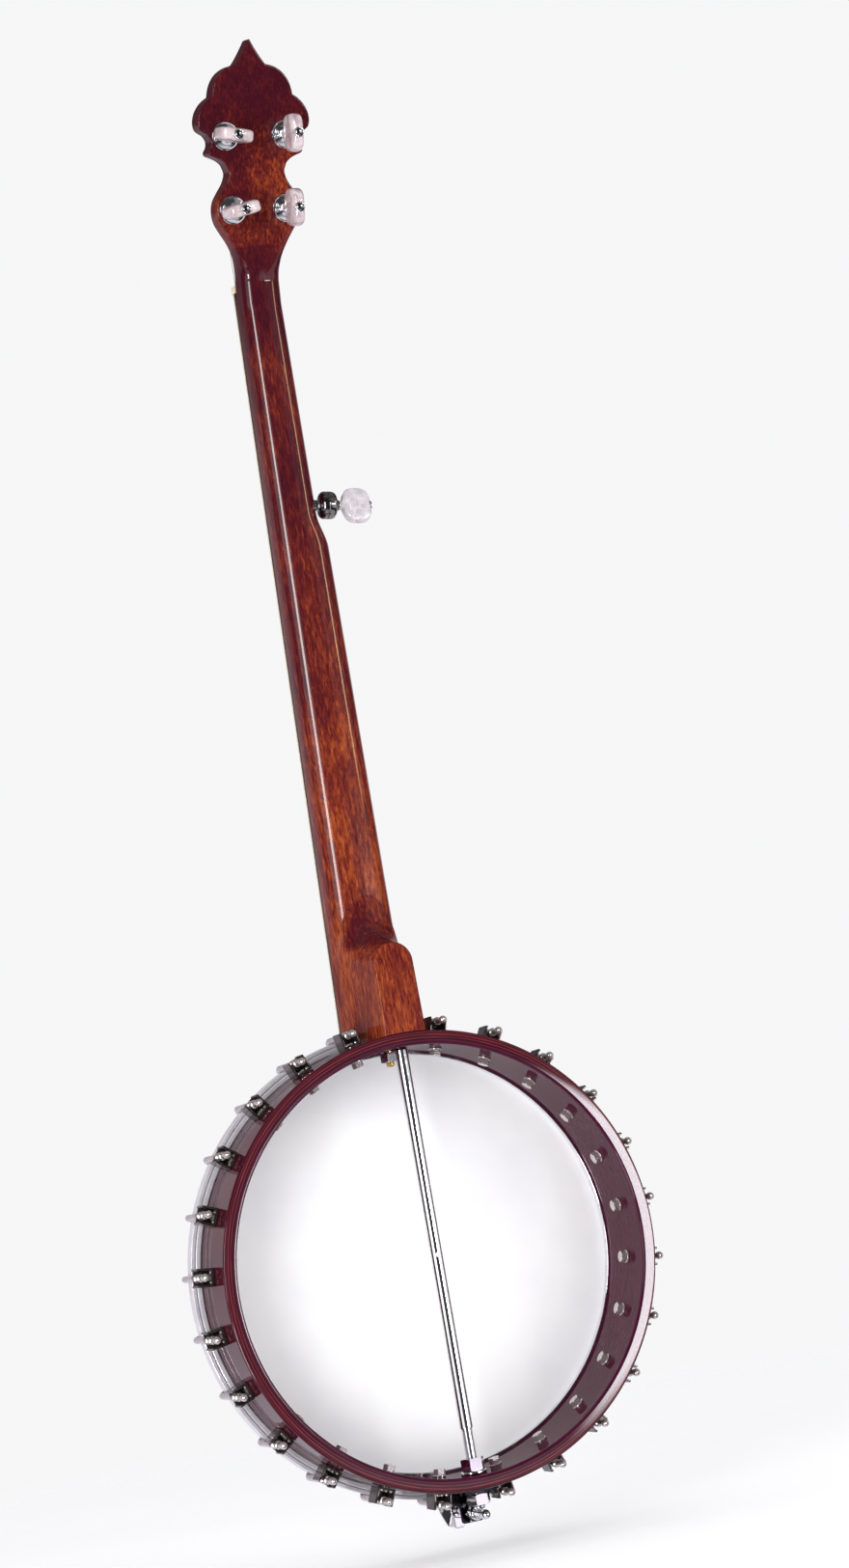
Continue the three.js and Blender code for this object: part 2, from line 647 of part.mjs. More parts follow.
// A hexagonal nut with its axis along Z. `acrossFlats` is the size of its spanner.
function hexNut(acrossFlats, bore, from, to, washer = 0) {
  const corner = acrossFlats / Math.sqrt(3);
  const shape = new THREE.Shape();
  for (let i = 0; i < 6; i += 1) {
    const a = Math.PI / 3 * i;
    shape[i === 0 ? 'moveTo' : 'lineTo'](corner * Math.cos(a), corner * Math.sin(a));
  }
  shape.closePath();
  const nut = new THREE.ExtrudeGeometry(shape, { depth: to - from, bevelEnabled: false })
    .translate(0, 0, from);
  const hole = drill(bore, 60, 12).rotateX(Math.PI / 2).translate(0, 0, from);
  if (washer === 0) {
    return cut(nut, hole);
  }
  const disc = drill(washer, 1.4, 20).rotateX(Math.PI / 2).translate(0, 0, from + 0.5);
  return cut(joined(nut, disc), hole);
}

function rodAndNuts() {
  const innerWall = POT_RADIUS - RIM_WALL;
  const rod = joined(
    turned([
      [0, 160], [2.9, 160], [2.9, innerWall - 1], [ROD_WIRE, innerWall - 2], [ROD_WIRE, ROD_THREAD_START],
      [ROD_THREAD, ROD_THREAD_START - 1], [ROD_THREAD, -151], [ROD_THREAD - 1, -152], [0, -152],
    ], 12).rotateX(Math.PI / 2).translate(0, ROD_Y, 0),
  );
  const tommyHole = drill(1.7, 20).translate(0, ROD_Y, ROD_HOLE_Z);
  add('coordinator_rod', cut(rod, tommyHole), chrome);

  const bore = ROD_THREAD + GAP;
  const nutWall = 1.2;
  const innerNut = hexNut(13, bore, nutWall - innerWall, nutWall - innerWall + 9, 8);
  add('rod_inner_nut', innerNut.translate(0, ROD_Y, 0), chrome);
  add('rod_outer_nut', hexNut(13, bore, -149.4, -142.7).translate(0, ROD_Y, 0), chrome);

  const lag = turned([[0, 121.5], [LAG_WIRE, 121.5], [LAG_WIRE, 158], [0, 158]], 10).rotateX(Math.PI / 2);
  const lagNut = hexNut(10, 1, innerWall - 6.5, innerWall - 0.5);
  add('heel_lag_bolt', joined(lag, lagNut).translate(0, LAG_Y, 0), chrome);
}

// A black bracket under the rod's outer nut: one leg lies on the rim, the other carries the tail bolt.
function tailpieceBracket() {
  const rimSide = -POT_RADIUS - 0.4;
  const thickness = 2;
  const legFront = 26;
  const onRim = new THREE.BoxGeometry(28, 28, thickness)
    .translate(0, legFront + 14, rimSide - thickness / 2);
  const tab = new THREE.Shape([
    new THREE.Vector2(-14, rimSide), new THREE.Vector2(-14, -147), new THREE.Vector2(-7, -151),
    new THREE.Vector2(-7, -161), new THREE.Vector2(7, -161), new THREE.Vector2(7, -151),
    new THREE.Vector2(14, -147), new THREE.Vector2(14, rimSide),
  ]);
  const leg = plate(tab, legFront, legFront + 2.4);
  const rodHole = drill(ROD_THREAD + GAP, 20, 12).rotateX(Math.PI / 2).translate(0, ROD_Y, -POT_RADIUS);
  const boltHole = drill(2.8, 20, 10).translate(0, legFront, TAIL_BOLT_Z);
  add('tailpiece_bracket', cut(joined(onRim, leg), rodHole, boltHole), blackChrome);
}

// The tailpiece: a tapered plate over the hoop, a comb for the strings and a lug round the tail bolt.
function tailpiece() {
  const face = -11.4;
  const thickness = 2.4;
  const outline = new THREE.Shape([
    new THREE.Vector2(-17, -112), new THREE.Vector2(-17, -124), new THREE.Vector2(-7, -158),
    new THREE.Vector2(-3.4, -166), new THREE.Vector2(3.4, -166), new THREE.Vector2(7, -158),
    new THREE.Vector2(17, -124), new THREE.Vector2(17, -112),
  ]);
  const top = plate(outline, face, face + thickness);
  const comb = new THREE.BoxGeometry(34, 3.6, 3).translate(0, face + thickness + 1.2, -113.5);
  const lug = new THREE.BoxGeometry(6.8, 13, 10).translate(0, face + thickness + 5.5, -161);
  const boltHole = drill(2.9, 60, 10).translate(0, 0, TAIL_BOLT_Z);
  add('tailpiece', cut(joined(top, comb, lug), boltHole), chrome);
}

function tailpieceBolt() {
  const nutFront = 31;
  const bolt = turned([
    [0, -14.4], [3, -14.4], [4.2, -13], [4.2, -11.8], [2.5, -11.8], [2.5, nutFront], [5.2, nutFront],
    [5.2, nutFront + 5.5], [3, nutFront + 6.5], [2.4, 48], [2.4, 50], [3.2, 53], [2, 55.6], [0, 56],
  ], 12).translate(0, 0, TAIL_BOLT_Z);
  add('tailpiece_bolt', bolt, chrome);
}

// ---------------------------------------------------------------- bridge and strings

function bridge() {
  const foot = -0.5 - GAP;
  const top = BRIDGE_TOP;
  const right = [];
  right.push([27, top], [40, foot - 4], [40, foot], [27, foot]);
  right.push([24, foot - 5], [16.5, foot - 7.5], [9, foot - 5], [7, foot]);
  const points = [...right, ...right.map(([x, y]) => [-x, y]).reverse()];
  const shape = new THREE.Shape(points.map(([x, y]) => new THREE.Vector2(x, y)));
  const geometry = new THREE.ExtrudeGeometry(shape, { depth: 4, bevelEnabled: false })
    .translate(0, 0, BRIDGE_Z - 2);
  add('bridge', geometry, maple);
}

function strings() {
  const overBridge = BRIDGE_TOP - GAP - STRING_WIRE;
  const overNut = boardFaceY(NUT_Z) - 1.2 - GAP - STRING_WIRE - 0.2;
  const postFront = (place) => new THREE.Vector3(place.x, -15.6, place.s).applyMatrix4(headstock.matrix);
  const lanes = [
    { bridge: 21, nut: 12.8, post: tunerPlaces[2], side: -1 },
    { bridge: 10.5, nut: 5.5, post: tunerPlaces[0], side: -1 },
    { bridge: 0, nut: -2, post: tunerPlaces[1], side: 1 },
    { bridge: -10.5, nut: -9.4, post: tunerPlaces[3], side: 1 },
  ];
  lanes.forEach((lane, i) => {
    const end = postFront(lane.post);
    end.x += lane.side * 3.2;
    end.z -= 0.5;
    const points = [
      new THREE.Vector3(lane.bridge * 0.6, -12.2, -111.5),
      new THREE.Vector3(lane.bridge, overBridge, BRIDGE_Z),
      new THREE.Vector3(lane.nut, overNut, NUT_Z + 2.8),
      end,
    ];
    add(`string_${i + 1}`, bar(points, STRING_WIRE, 6), steelWire);
  });
  // the fifth string passes the fifth fret, leaves the board's edge and drops to its post
  const height = (z) => mix(overBridge, overNut, between(BRIDGE_Z, NUT_Z, z));
  add('string_5', bar([
    new THREE.Vector3(-12.6, -12.2, -111.5),
    new THREE.Vector3(-21, overBridge, BRIDGE_Z),
    new THREE.Vector3(-15.3, height(467), 467),
    new THREE.Vector3(-14.9, height(479) + 0.6, 479),
    new THREE.Vector3(-14.6, FIFTH_PEG_Y - 3.4, FIFTH_PEG_Z - 1.4),
  ], STRING_WIRE, 6), steelWire);
}

// ---------------------------------------------------------------- the whole instrument

woodRim();
toneRing();
head();
tensionHoop();
brackets();
neck();
veneer();
fingerboard();
stringNut();
tunerPlaces.forEach((place, i) => tuner(i + 1, place));
fifthTuner();
rodAndNuts();
tailpieceBracket();
tailpiece();
tailpieceBolt();
bridge();
strings();

// The instrument hangs by the neck just below the headstock, so that place becomes the origin.
const HANGING_POINT = new THREE.Vector3(1.6, 26, 610);
banjo.position.copy(HANGING_POINT).negate();

export default banjo;
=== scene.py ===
from math import copysign, cos, degrees, pi, radians, sin, sqrt, tan

import bmesh
import bpy
from mathutils import Matrix, Vector


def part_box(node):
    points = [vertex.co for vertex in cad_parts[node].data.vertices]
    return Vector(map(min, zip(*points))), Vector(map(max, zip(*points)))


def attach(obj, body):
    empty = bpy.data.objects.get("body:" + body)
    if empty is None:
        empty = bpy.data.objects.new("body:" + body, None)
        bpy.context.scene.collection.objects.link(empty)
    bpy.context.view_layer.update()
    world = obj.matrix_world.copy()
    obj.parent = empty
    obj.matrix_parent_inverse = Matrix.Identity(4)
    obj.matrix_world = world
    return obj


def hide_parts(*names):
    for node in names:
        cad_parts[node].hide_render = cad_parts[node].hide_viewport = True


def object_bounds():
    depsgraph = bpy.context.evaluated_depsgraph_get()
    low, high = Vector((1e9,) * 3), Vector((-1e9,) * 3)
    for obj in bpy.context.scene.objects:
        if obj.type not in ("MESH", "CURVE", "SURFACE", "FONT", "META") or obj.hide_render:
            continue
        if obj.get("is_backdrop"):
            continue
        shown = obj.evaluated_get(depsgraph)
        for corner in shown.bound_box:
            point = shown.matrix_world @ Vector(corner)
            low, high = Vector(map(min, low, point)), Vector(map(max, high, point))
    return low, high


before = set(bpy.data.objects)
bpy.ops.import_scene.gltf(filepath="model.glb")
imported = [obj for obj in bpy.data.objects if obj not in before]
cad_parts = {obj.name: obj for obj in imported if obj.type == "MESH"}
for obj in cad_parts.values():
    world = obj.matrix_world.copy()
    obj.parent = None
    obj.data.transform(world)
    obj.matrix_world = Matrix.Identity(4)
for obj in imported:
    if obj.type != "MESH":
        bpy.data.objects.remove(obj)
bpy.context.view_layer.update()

# ---------------------------------------------------------------- driving dimensions

MM = 0.001
INCH = 25.4

# pot
POT_RADIUS = 5.5 * INCH
RIM_WALL = 8.7
RIM_INNER = POT_RADIUS - RIM_WALL
RIM_FRONT = 5.4
RIM_BACK = 60.3
RIM_ROUND = 1.8
RIM_NECKED = POT_RADIUS - 0.7                  # slimmer front of the rim, under the skin's skirt
HOOP_OUTER = 145.6
HOOP_INNER = 143.3
HOOP_FRONT = -3.7
HOOP_BACK = 6.0
SKIN = 0.4

# brackets
BRACKETS_PER_SIDE = 12
FIRST_BRACKET = radians(11.7)
BRACKET_STEP = radians(14.56)
HOOK_RADIUS = 147.6
HOOK_WIRE = 2.0
SHOE_DEPTH = 34.0
SHOE_BOLT = 2.2

# neck
SCALE_LENGTH = 26.25 * INCH
FRETS = 22
NUT_Z = 634.0
BOARD_END_Z = 147.5
NECK_SET = radians(2.54)
BOARD_LIFT = 5.2
BOARD_THICKNESS = 5.5
BINDING = 1.6
BINDING_DEEP = 2.3
DOTTED_FRETS = (3, 5, 7, 10, 12, 15, 17, 19, 22)
LAST_SIDE_DOT = 17                             # the last of them with a dot on the board's side too
TREBLE_AT_POT = 22.2
TREBLE_AT_NUT = 16.0
BASS_AT_POT = 22.2
BASS_AT_STEP = 18.8
BASS_ABOVE_STEP = 13.8
BASS_AT_NUT = 12.6
STEP_LOW_Z = 458.0
STEP_HIGH_Z = 482.0
NECK_DEPTH_AT_NUT = 16.0
NECK_DEPTH_AT_HEEL = 19.0
HEEL_TOP_Z = 196.5
TONGUE_HALF = 13.0

# headstock
HEADSTOCK_TILT = radians(20.5)
HEADSTOCK_THICKNESS = 13.0
HEADSTOCK_X = 0.5
HEADSTOCK_LENGTH = 158.5
VENEER = 1.5
TUNERS = [                                     # x, height s up the headstock, turn of the button
    (20.0, 98.5, -9.0),
    (-20.0, 98.5, 90.0),
    (18.0, 52.0, 13.0),
    (-18.0, 52.0, 90.0),
]

# fifth peg
FIFTH_PEG_Z = 488.0
FIFTH_PEG_Y = 24.0
FIFTH_PEG_LEAN = radians(5.3)
FIFTH_BUTTON_TURN = 75.0
FIFTH_BUTTON_START = 31.1
FIFTH_BUTTON_LENGTH = 19.3

# rod, bolts, strings
ROD_Y = 45.0
ROD_WIRE = 4.0
ROD_THREAD = 3.6
ROD_THREAD_START = -103.0
ROD_HOLE_Z = 2.6
LAG_Y = 20.0
BRIDGE_Z = NUT_Z - SCALE_LENGTH * cos(NECK_SET)
BRIDGE_TOP = -16.4
OVER_BRIDGE = BRIDGE_TOP - 0.2                 # depth of the strings on the bridge
AT_COMB = 0.6                                  # string spacing at the tailpiece, for 1 at the bridge
TAIL_BOLT_Z = -155.0

ROUND = 128                                    # segments of the large turned shapes
VERY_ROUND = 256                               # segments of the rim and the hoops
SMALL_ROUND = 32                               # segments of the small turned shapes

FLOOR_GAP = 0.012                              # metres from the lowest point down to the floor
CAMERA_PLACE = Vector((0.56913, 1.67371, -0.56139))
CAMERA_FORWARD = Vector((-0.3459, -0.9281, 0.1376))
CAMERA_UP = Vector((-0.1154, 0.1876, 0.9754))
CAMERA_LENS = 64.45

rim_low, rim_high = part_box("wood_rim")
POT = Vector((
    (rim_low.x + rim_high.x) / 2,
    rim_high.y - RIM_BACK * MM,
    (rim_low.z + rim_high.z) / 2,
))


def mix(a, b, t):
    return a + (b - a) * t


def between(a, b, value):
    return min(max((value - a) / (b - a), 0.0), 1.0)


def smooth(t):
    return t * t * (3 - 2 * t)


def spread(a, b, count):
    """count values from a to b, ends included."""
    return [mix(a, b, i / (count - 1)) for i in range(count)]


def around(count):
    """The angles of count points round a circle."""
    return [2 * pi * i / count for i in range(count)]


def board_face(z):
    return -BOARD_LIFT + (z - BOARD_END_Z) * tan(NECK_SET)


# ---------------------------------------------------------------- shape helpers

def rounded(points, radius, steps=4, closed=True):
    """The outline with each corner replaced by a small curve that starts `radius` before it."""
    result = []
    count = len(points)
    for i, point in enumerate(points):
        if not closed and i in (0, count - 1):
            result.append(tuple(point))
            continue
        corner = Vector(point)
        back = Vector(points[i - 1]) - corner
        ahead = Vector(points[(i + 1) % count]) - corner
        start = corner + back.normalized() * min(radius, back.length * 0.45)
        end = corner + ahead.normalized() * min(radius, ahead.length * 0.45)
        for t in spread(0, 1, steps + 1):
            p = start * (1 - t) ** 2 + corner * (2 * t * (1 - t)) + end * t * t
            result.append((p.x, p.y))
    return result


def rectangle(left, low, right, high):
    return [(left, low), (right, low), (right, high), (left, high)]


def mirrored_outline(half):
    """A closed outline from the half of it at +x, given from one end to the other."""
    return [(-x, z) for x, z in half] + [(x, z) for x, z in reversed(half)]


def lathe(profile, segments=SMALL_ROUND):
    """A solid turned about Y from (radius, y) pairs: closed, or starting and ending on the axis."""
    bm = bmesh.new()
    rings = []
    for radius, y in profile:
        if radius < 1e-6:
            rings.append([bm.verts.new((0, y, 0))])
        else:
            rings.append([bm.verts.new((radius * sin(a), y, radius * cos(a))) for a in around(segments)])
    pairs = list(zip(rings, rings[1:]))
    if profile[0][0] > 1e-6:
        pairs.append((rings[-1], rings[0]))
    for low, high in pairs:
        for i in range(segments):
            j = (i + 1) % segments
            corners = [low[i % len(low)], low[j % len(low)], high[j % len(high)], high[i % len(high)]]
            corners = list(dict.fromkeys(corners))
            if len(corners) > 2:
                bm.faces.new(corners)
    bmesh.ops.recalc_face_normals(bm, faces=bm.faces)
    return bm


def cylinder(radius, low, high, segments=SMALL_ROUND):
    """A plain bar about Y, for a shaft or for cutting a hole."""
    return lathe([(0, low), (radius, low), (radius, high), (0, high)], segments)


def flat_ring(inner, outer, low, high, corner, steps=3, segments=SMALL_ROUND):
    """A ring about Y with rounded edges, such as a washer."""
    return lathe(rounded(rectangle(inner, low, outer, high), corner, steps), segments)


def loft(sections, caps=True):
    """A skin over closed sections that all have the same number of points."""
    bm = bmesh.new()
    rings = [[bm.verts.new(p) for p in section] for section in sections]
    count = len(rings[0])
    for low, high in zip(rings, rings[1:]):
        for j in range(count):
            k = (j + 1) % count
            bm.faces.new((low[j], low[k], high[k], high[j]))
    if caps:
        bm.faces.new(rings[0])
        bm.faces.new(rings[-1])
    bmesh.ops.recalc_face_normals(bm, faces=bm.faces)
    return bm


def prism(outline, low, high):
    """A plate from an outline of (x, z) pairs, between two depths y."""
    return loft([[(x, y, z) for x, z in outline] for y in (low, high)])


def tube(points, radius, sides):
    """A round wire through a list of points, with domed ends."""
    points = [Vector(p) for p in points]
    last = len(points) - 1
    sections = []
    side = None
    for i, point in enumerate(points):
        along = (points[min(i + 1, last)] - points[max(i - 1, 0)]).normalized()
        if side is None:
            side = along.orthogonal().normalized()
        side = (side - along * side.dot(along)).normalized()
        other = along.cross(side)
        dome = {0: (-0.94, -0.7, -0.35, 0.0), last: (0.0, 0.35, 0.7, 0.94)}
        for t in dome.get(i, (0.0,)):
            centre = point + along * radius * t
            r = radius * sqrt(1 - t * t)
            sections.append([centre + side * r * cos(a) + other * r * sin(a) for a in around(sides)])
    return loft(sections)


def curve_through(points, steps):
    """A smooth curve through a few points, with `steps` short pieces in each span."""
    points = [Vector(p) for p in points]
    ends = [2 * points[0] - points[1], *points, 2 * points[-1] - points[-2]]
    result = []
    for i in range(1, len(ends) - 2):
        a, b, c, d = ends[i - 1:i + 3]
        for k in range(steps):
            t = k / steps
            result.append(0.5 * (2 * b + (c - a) * t + (2 * a - 5 * b + 4 * c - d) * t * t
                                 + (3 * b - a - 3 * c + d) * t ** 3))
    result.append(points[-1])
    return result


def hex_nut(across_flats, bore, low, high):
    """A hexagonal nut about Y whose corners are turned back by a 30 degree chamfer."""
    flat = across_flats / 2
    seat = flat * 0.97
    angles = around(72)

    def circle(radius, y):
        return [(radius * sin(a), y, radius * cos(a)) for a in angles]

    def hexagon(y, inwards):
        section = []
        for a in angles:
            r = flat / cos((a + pi / 6) % (pi / 3) - pi / 6)
            section.append((r * sin(a), y + inwards * (r - seat) * tan(radians(30)), r * cos(a)))
        return section

    rows = [circle(bore, low + 0.5), circle(bore + 0.4, low), circle(seat, low), hexagon(low, 1),
            hexagon(high, -1), circle(seat, high), circle(bore + 0.4, high), circle(bore, high - 0.5)]
    return loft([*rows, rows[0]], caps=False)


def thread(radius, low, high, pitch=1.25, depth=0.45):
    """The profile of a threaded stretch along Y: a row of sharp ridges."""
    count = max(round((high - low) / pitch), 1)
    step = (high - low) / count
    profile = []
    for i in range(count):
        y = low + i * step
        profile += [(radius - depth, y), (radius, y + step * 0.4), (radius, y + step * 0.6)]
    return [*profile, (radius - depth, high)]


def moved(bm, *, at=(0, 0, 0), turn=0.0, axis="Y", matrix=None):
    """The shape turned by `turn` degrees about an axis through the origin, then moved."""
    m = matrix if matrix is not None else Matrix.Translation(at) @ Matrix.Rotation(radians(turn), 4, axis)
    bmesh.ops.transform(bm, matrix=m, verts=bm.verts)
    return bm


def along_z(bm, y, x=0.0):
    """A shape drawn about Y, laid along Z at depth y: its +Y end points up the neck."""
    return moved(bm, turn=90, axis="X", at=(x, y, 0))


def bevelled(bm, width, segments=2, sharpness=30):
    """The shape with its sharp edges rounded."""
    bmesh.ops.remove_doubles(bm, verts=bm.verts, dist=1e-5)
    edges = [e for e in bm.edges if len(e.link_faces) == 2 and degrees(e.calc_face_angle(0)) > sharpness]
    bmesh.ops.bevel(bm, geom=edges, offset=width, segments=segments, profile=0.5,
                    affect="EDGES", clamp_overlap=True)
    return bm


def add(whole, shape):
    """The faces of one shape put into another, without joining their surfaces."""
    mesh = bpy.data.meshes.new("part")
    shape.to_mesh(mesh)
    shape.free()
    whole.from_mesh(mesh)
    bpy.data.meshes.remove(mesh)


def together(*shapes):
    """Several shapes in one."""
    whole = bmesh.new()
    for shape in shapes:
        add(whole, shape)
    return whole


def boolean(operation, *shapes):
    """The first shape, with the others cut away from it or joined to it."""
    objects = []
    for shape in shapes:
        mesh = bpy.data.meshes.new("part")
        shape.to_mesh(mesh)
        shape.free()
        obj = bpy.data.objects.new("part", mesh)
        bpy.context.scene.collection.objects.link(obj)
        objects.append(obj)
    for tool in objects[1:]:
        modifier = objects[0].modifiers.new("boolean", "BOOLEAN")
        modifier.operation = operation
        modifier.solver = "EXACT"
        modifier.object = tool
    result = bmesh.new()
    result.from_object(objects[0], bpy.context.evaluated_depsgraph_get())
    for obj in objects:
        bpy.data.meshes.remove(obj.data)
    return result


def cut(shape, *tools):
    return boolean("DIFFERENCE", shape, *tools)


def to_mesh(name, shapes, crease=35):
    """One mesh from (shape, material) pairs, in metres, with edges sharper than `crease` kept."""
    whole = bmesh.new()
    mesh = bpy.data.meshes.new(name)
    for i, (shape, finish) in enumerate(shapes):
        start = len(whole.faces)
        add(whole, shape)
        whole.faces.ensure_lookup_table()
        for face in whole.faces[start:]:
            face.material_index = i
            face.smooth = True
        mesh.materials.append(finish)
    bmesh.ops.scale(whole, vec=(MM, MM, MM), verts=whole.verts)
    whole.to_mesh(mesh)
    whole.free()
    mesh.set_sharp_from_angle(angle=radians(crease))
    return mesh


def piece(part, slot, *shapes, matrix=None, turns=False, crease=35):
    """A finished piece at its place in the row frame, which stands for the CAD node `part`.

    Its shapes are (shape, material) pairs, or one mesh that several pieces share. It rides on the
    body of its own name where that turns by itself, and on the root body otherwise.
    """
    name = part + "_visual"
    shared = isinstance(shapes[0], bpy.types.Mesh)
    mesh = shapes[0] if shared else to_mesh(name, shapes, crease)
    obj = bpy.data.objects.new(name, mesh)
    bpy.context.scene.collection.objects.link(obj)
    obj.matrix_world = Matrix.Translation(POT)
    if matrix is not None:
        local = Matrix.Translation(matrix.translation * MM) @ matrix.to_3x3().to_4x4()
        if shared:
            obj.matrix_world = obj.matrix_world @ local
        else:
            mesh.transform(local)
    flat = obj.modifiers.new("flat_faces_stay_flat", "WEIGHTED_NORMAL")
    flat.keep_sharp = True
    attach(obj, part if turns else "root")
    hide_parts(part)


# ---------------------------------------------------------------- material helpers

def node(tree, kind, inputs=None, **settings):
    """A shader node with its settings made and its inputs linked or set."""
    made = tree.nodes.new(kind)
    for key, value in settings.items():
        setattr(made, key, value)
    for key, value in (inputs or {}).items():
        if isinstance(value, bpy.types.NodeSocket):
            tree.links.new(value, made.inputs[key])
        else:
            made.inputs[key].default_value = value
    return made


def ramp(tree, factor, stops):
    """A colour ramp through (position, colour) stops."""
    made = node(tree, "ShaderNodeValToRGB", {"Fac": factor})
    elements = made.color_ramp.elements
    while len(elements) > 1:
        elements.remove(elements[-1])
    for i, (position, colour) in enumerate(stops):
        element = elements[0] if i == 0 else elements.new(position)
        element.position = position
        element.color = (*colour, 1)
    return made.outputs["Color"]


def math(tree, operation, a, b=0.0, c=0.0):
    return node(tree, "ShaderNodeMath", {0: a, 1: b, 2: c}, operation=operation).outputs[0]


def noise(tree, vector, scale, detail=3.0, roughness=0.55, distortion=0.0):
    made = node(tree, "ShaderNodeTexNoise", {
        "Vector": vector, "Scale": scale, "Detail": detail, "Roughness": roughness,
        "Distortion": distortion,
    })
    return made.outputs["Fac"]


def stretched(tree, vector, scale):
    made = node(tree, "ShaderNodeMapping", {"Vector": vector, "Scale": scale})
    return made.outputs["Vector"]


def remap(tree, value, from_low, from_high, to_low, to_high):
    made = node(tree, "ShaderNodeMapRange", {
        "Value": value, "From Min": from_low, "From Max": from_high, "To Min": to_low, "To Max": to_high,
    })
    return made.outputs["Result"]


def blend_colours(tree, factor, a, b, blend_type="MIX"):
    made = node(tree, "ShaderNodeMix", data_type="RGBA", blend_type=blend_type)
    for key, value in ((0, factor), (6, a), (7, b)):
        if isinstance(value, bpy.types.NodeSocket):
            tree.links.new(value, made.inputs[key])
        else:
            made.inputs[key].default_value = value if key == 0 else (*value, 1)
    return made.outputs[2]


def bump(tree, height, strength, distance):
    made = node(tree, "ShaderNodeBump", {"Height": height, "Strength": strength, "Distance": distance})
    return made.outputs["Normal"]


def material(name):
    """A new material, its node tree, its Principled shader and its object coordinates."""
    made = bpy.data.materials.new(name)
    made.use_nodes = True
    tree = made.node_tree
    shader = tree.nodes["Principled BSDF"]
    place = node(tree, "ShaderNodeTexCoord").outputs["Object"]
    return made, tree, shader, place


def split(tree, vector):
    """The x, y and z of a vector."""
    return node(tree, "ShaderNodeSeparateXYZ", {"Vector": vector}).outputs[:3]


def link(tree, shader, sockets):
    for name, value in sockets.items():
        tree.links.new(value, shader.inputs[name])


def lacquer(shader, roughness, weight=1.0):
    shader.inputs["Coat Weight"].default_value = weight
    shader.inputs["Coat Roughness"].default_value = roughness
    shader.inputs["Coat IOR"].default_value = 1.52


def glow(shader, weight, radius, scale):
    """Light let a little way into the surface."""
    shader.inputs["Subsurface Weight"].default_value = weight
    shader.inputs["Subsurface Radius"].default_value = radius
    shader.inputs["Subsurface Scale"].default_value = scale


# ---------------------------------------------------------------- materials

STAIN_AND_SHADE_BANDS = [                                      # from one height to another, in metres: how much lighter; partly the stain's own change, partly painted shade in the dark band round the nut
    (0.50, 0.24, 0.13),
    (0.58, 0.625, -0.07),
    (0.6555, 0.6575, 0.095),
    (0.695, 0.745, -0.115),
]


def mahogany():
    """Lacquered neck wood: dark red stain, with orange flecks along the grain, and painted shade round the
    nut and above the heel's tongue.
    """
    made, tree, shader, place = material("lacquered_mahogany")
    streaks = noise(tree, stretched(tree, place, (1.0, 1.0, 0.10)), 480, 5, 0.6, 0.4)
    flecks = noise(tree, stretched(tree, place, (1.0, 1.0, 0.22)), 620, 4, 0.65, 0.5)
    clouds = noise(tree, stretched(tree, place, (1.0, 1.0, 0.45)), 38, 3)
    pores = noise(tree, stretched(tree, place, (1.0, 1.0, 0.06)), 1500, 2, 0.5)
    _, depth, height = split(tree, place)
    total = math(tree, "MULTIPLY", streaks, 0.30)
    total = math(tree, "MULTIPLY_ADD", flecks, 0.60, total)
    total = math(tree, "MULTIPLY_ADD", clouds, 0.40, total)
    # bands up the neck: the stain's own change, and painted shade round the nut
    for start, end, lighter in STAIN_AND_SHADE_BANDS:
        total = math(tree, "ADD", total, remap(tree, height, start, end, 0.0, lighter))
    # painted shade: the wood is painted darker above the tongue of the heel, in the concave corner that
    # lies in shadow
    shade_above_tongue = remap(tree, height, 0.195, 0.200, 0.0, 1.0)
    shade_above_tongue = math(tree, "MULTIPLY", shade_above_tongue, remap(tree, height, 0.206, 0.250, 1.0, 0.0))
    shade_above_tongue = math(tree, "MULTIPLY", shade_above_tongue, remap(tree, depth, 0.018, 0.027, 0.0, -0.17))
    colour = ramp(tree, math(tree, "ADD", total, shade_above_tongue), [
        (0.54, (0.042, 0.0045, 0.010)),
        (0.66, (0.075, 0.0080, 0.010)),
        (0.75, (0.135, 0.0180, 0.011)),
        (0.83, (0.235, 0.0420, 0.013)),
        (0.95, (0.370, 0.0900, 0.024)),
    ])
    dark_pores = ramp(tree, pores, [(0.30, (0.60, 0.50, 0.50)), (0.46, (1, 1, 1))])
    link(tree, shader, {
        "Base Color": blend_colours(tree, 0.75, colour, dark_pores, "MULTIPLY"),
        "Roughness": remap(tree, flecks, 0.3, 0.7, 0.30, 0.48),
        "Normal": bump(tree, streaks, 0.12, 0.0004),
        "Coat Normal": bump(tree, noise(tree, place, 55, 2), 0.03, 0.0004),
        "Coat Weight": math(tree, "MULTIPLY", remap(tree, height, 0.19, 0.23, 0.4, 1.0),
                            remap(tree, height, 0.60, 0.66, 1.0, 0.5)),
    })
    lacquer(shader, 0.04)
    shader.inputs["Specular IOR Level"].default_value = 0.0
    return made


PLIES = [                                      # colours from the rim's inner to its outer face
    (0.00, (0.058, 0.006, 0.022)), (0.20, (0.036, 0.004, 0.018)), (0.25, (0.095, 0.010, 0.020)),
    (0.30, (0.030, 0.004, 0.014)), (0.42, (0.028, 0.004, 0.012)), (0.47, (0.170, 0.020, 0.026)),
    (0.52, (0.034, 0.004, 0.012)), (0.62, (0.030, 0.004, 0.010)), (0.67, (0.200, 0.026, 0.030)),
    (0.72, (0.040, 0.005, 0.012)), (0.80, (0.034, 0.005, 0.012)), (0.84, (0.130, 0.015, 0.022)),
    (0.90, (0.030, 0.004, 0.012)), (1.00, (0.060, 0.008, 0.016)),
]


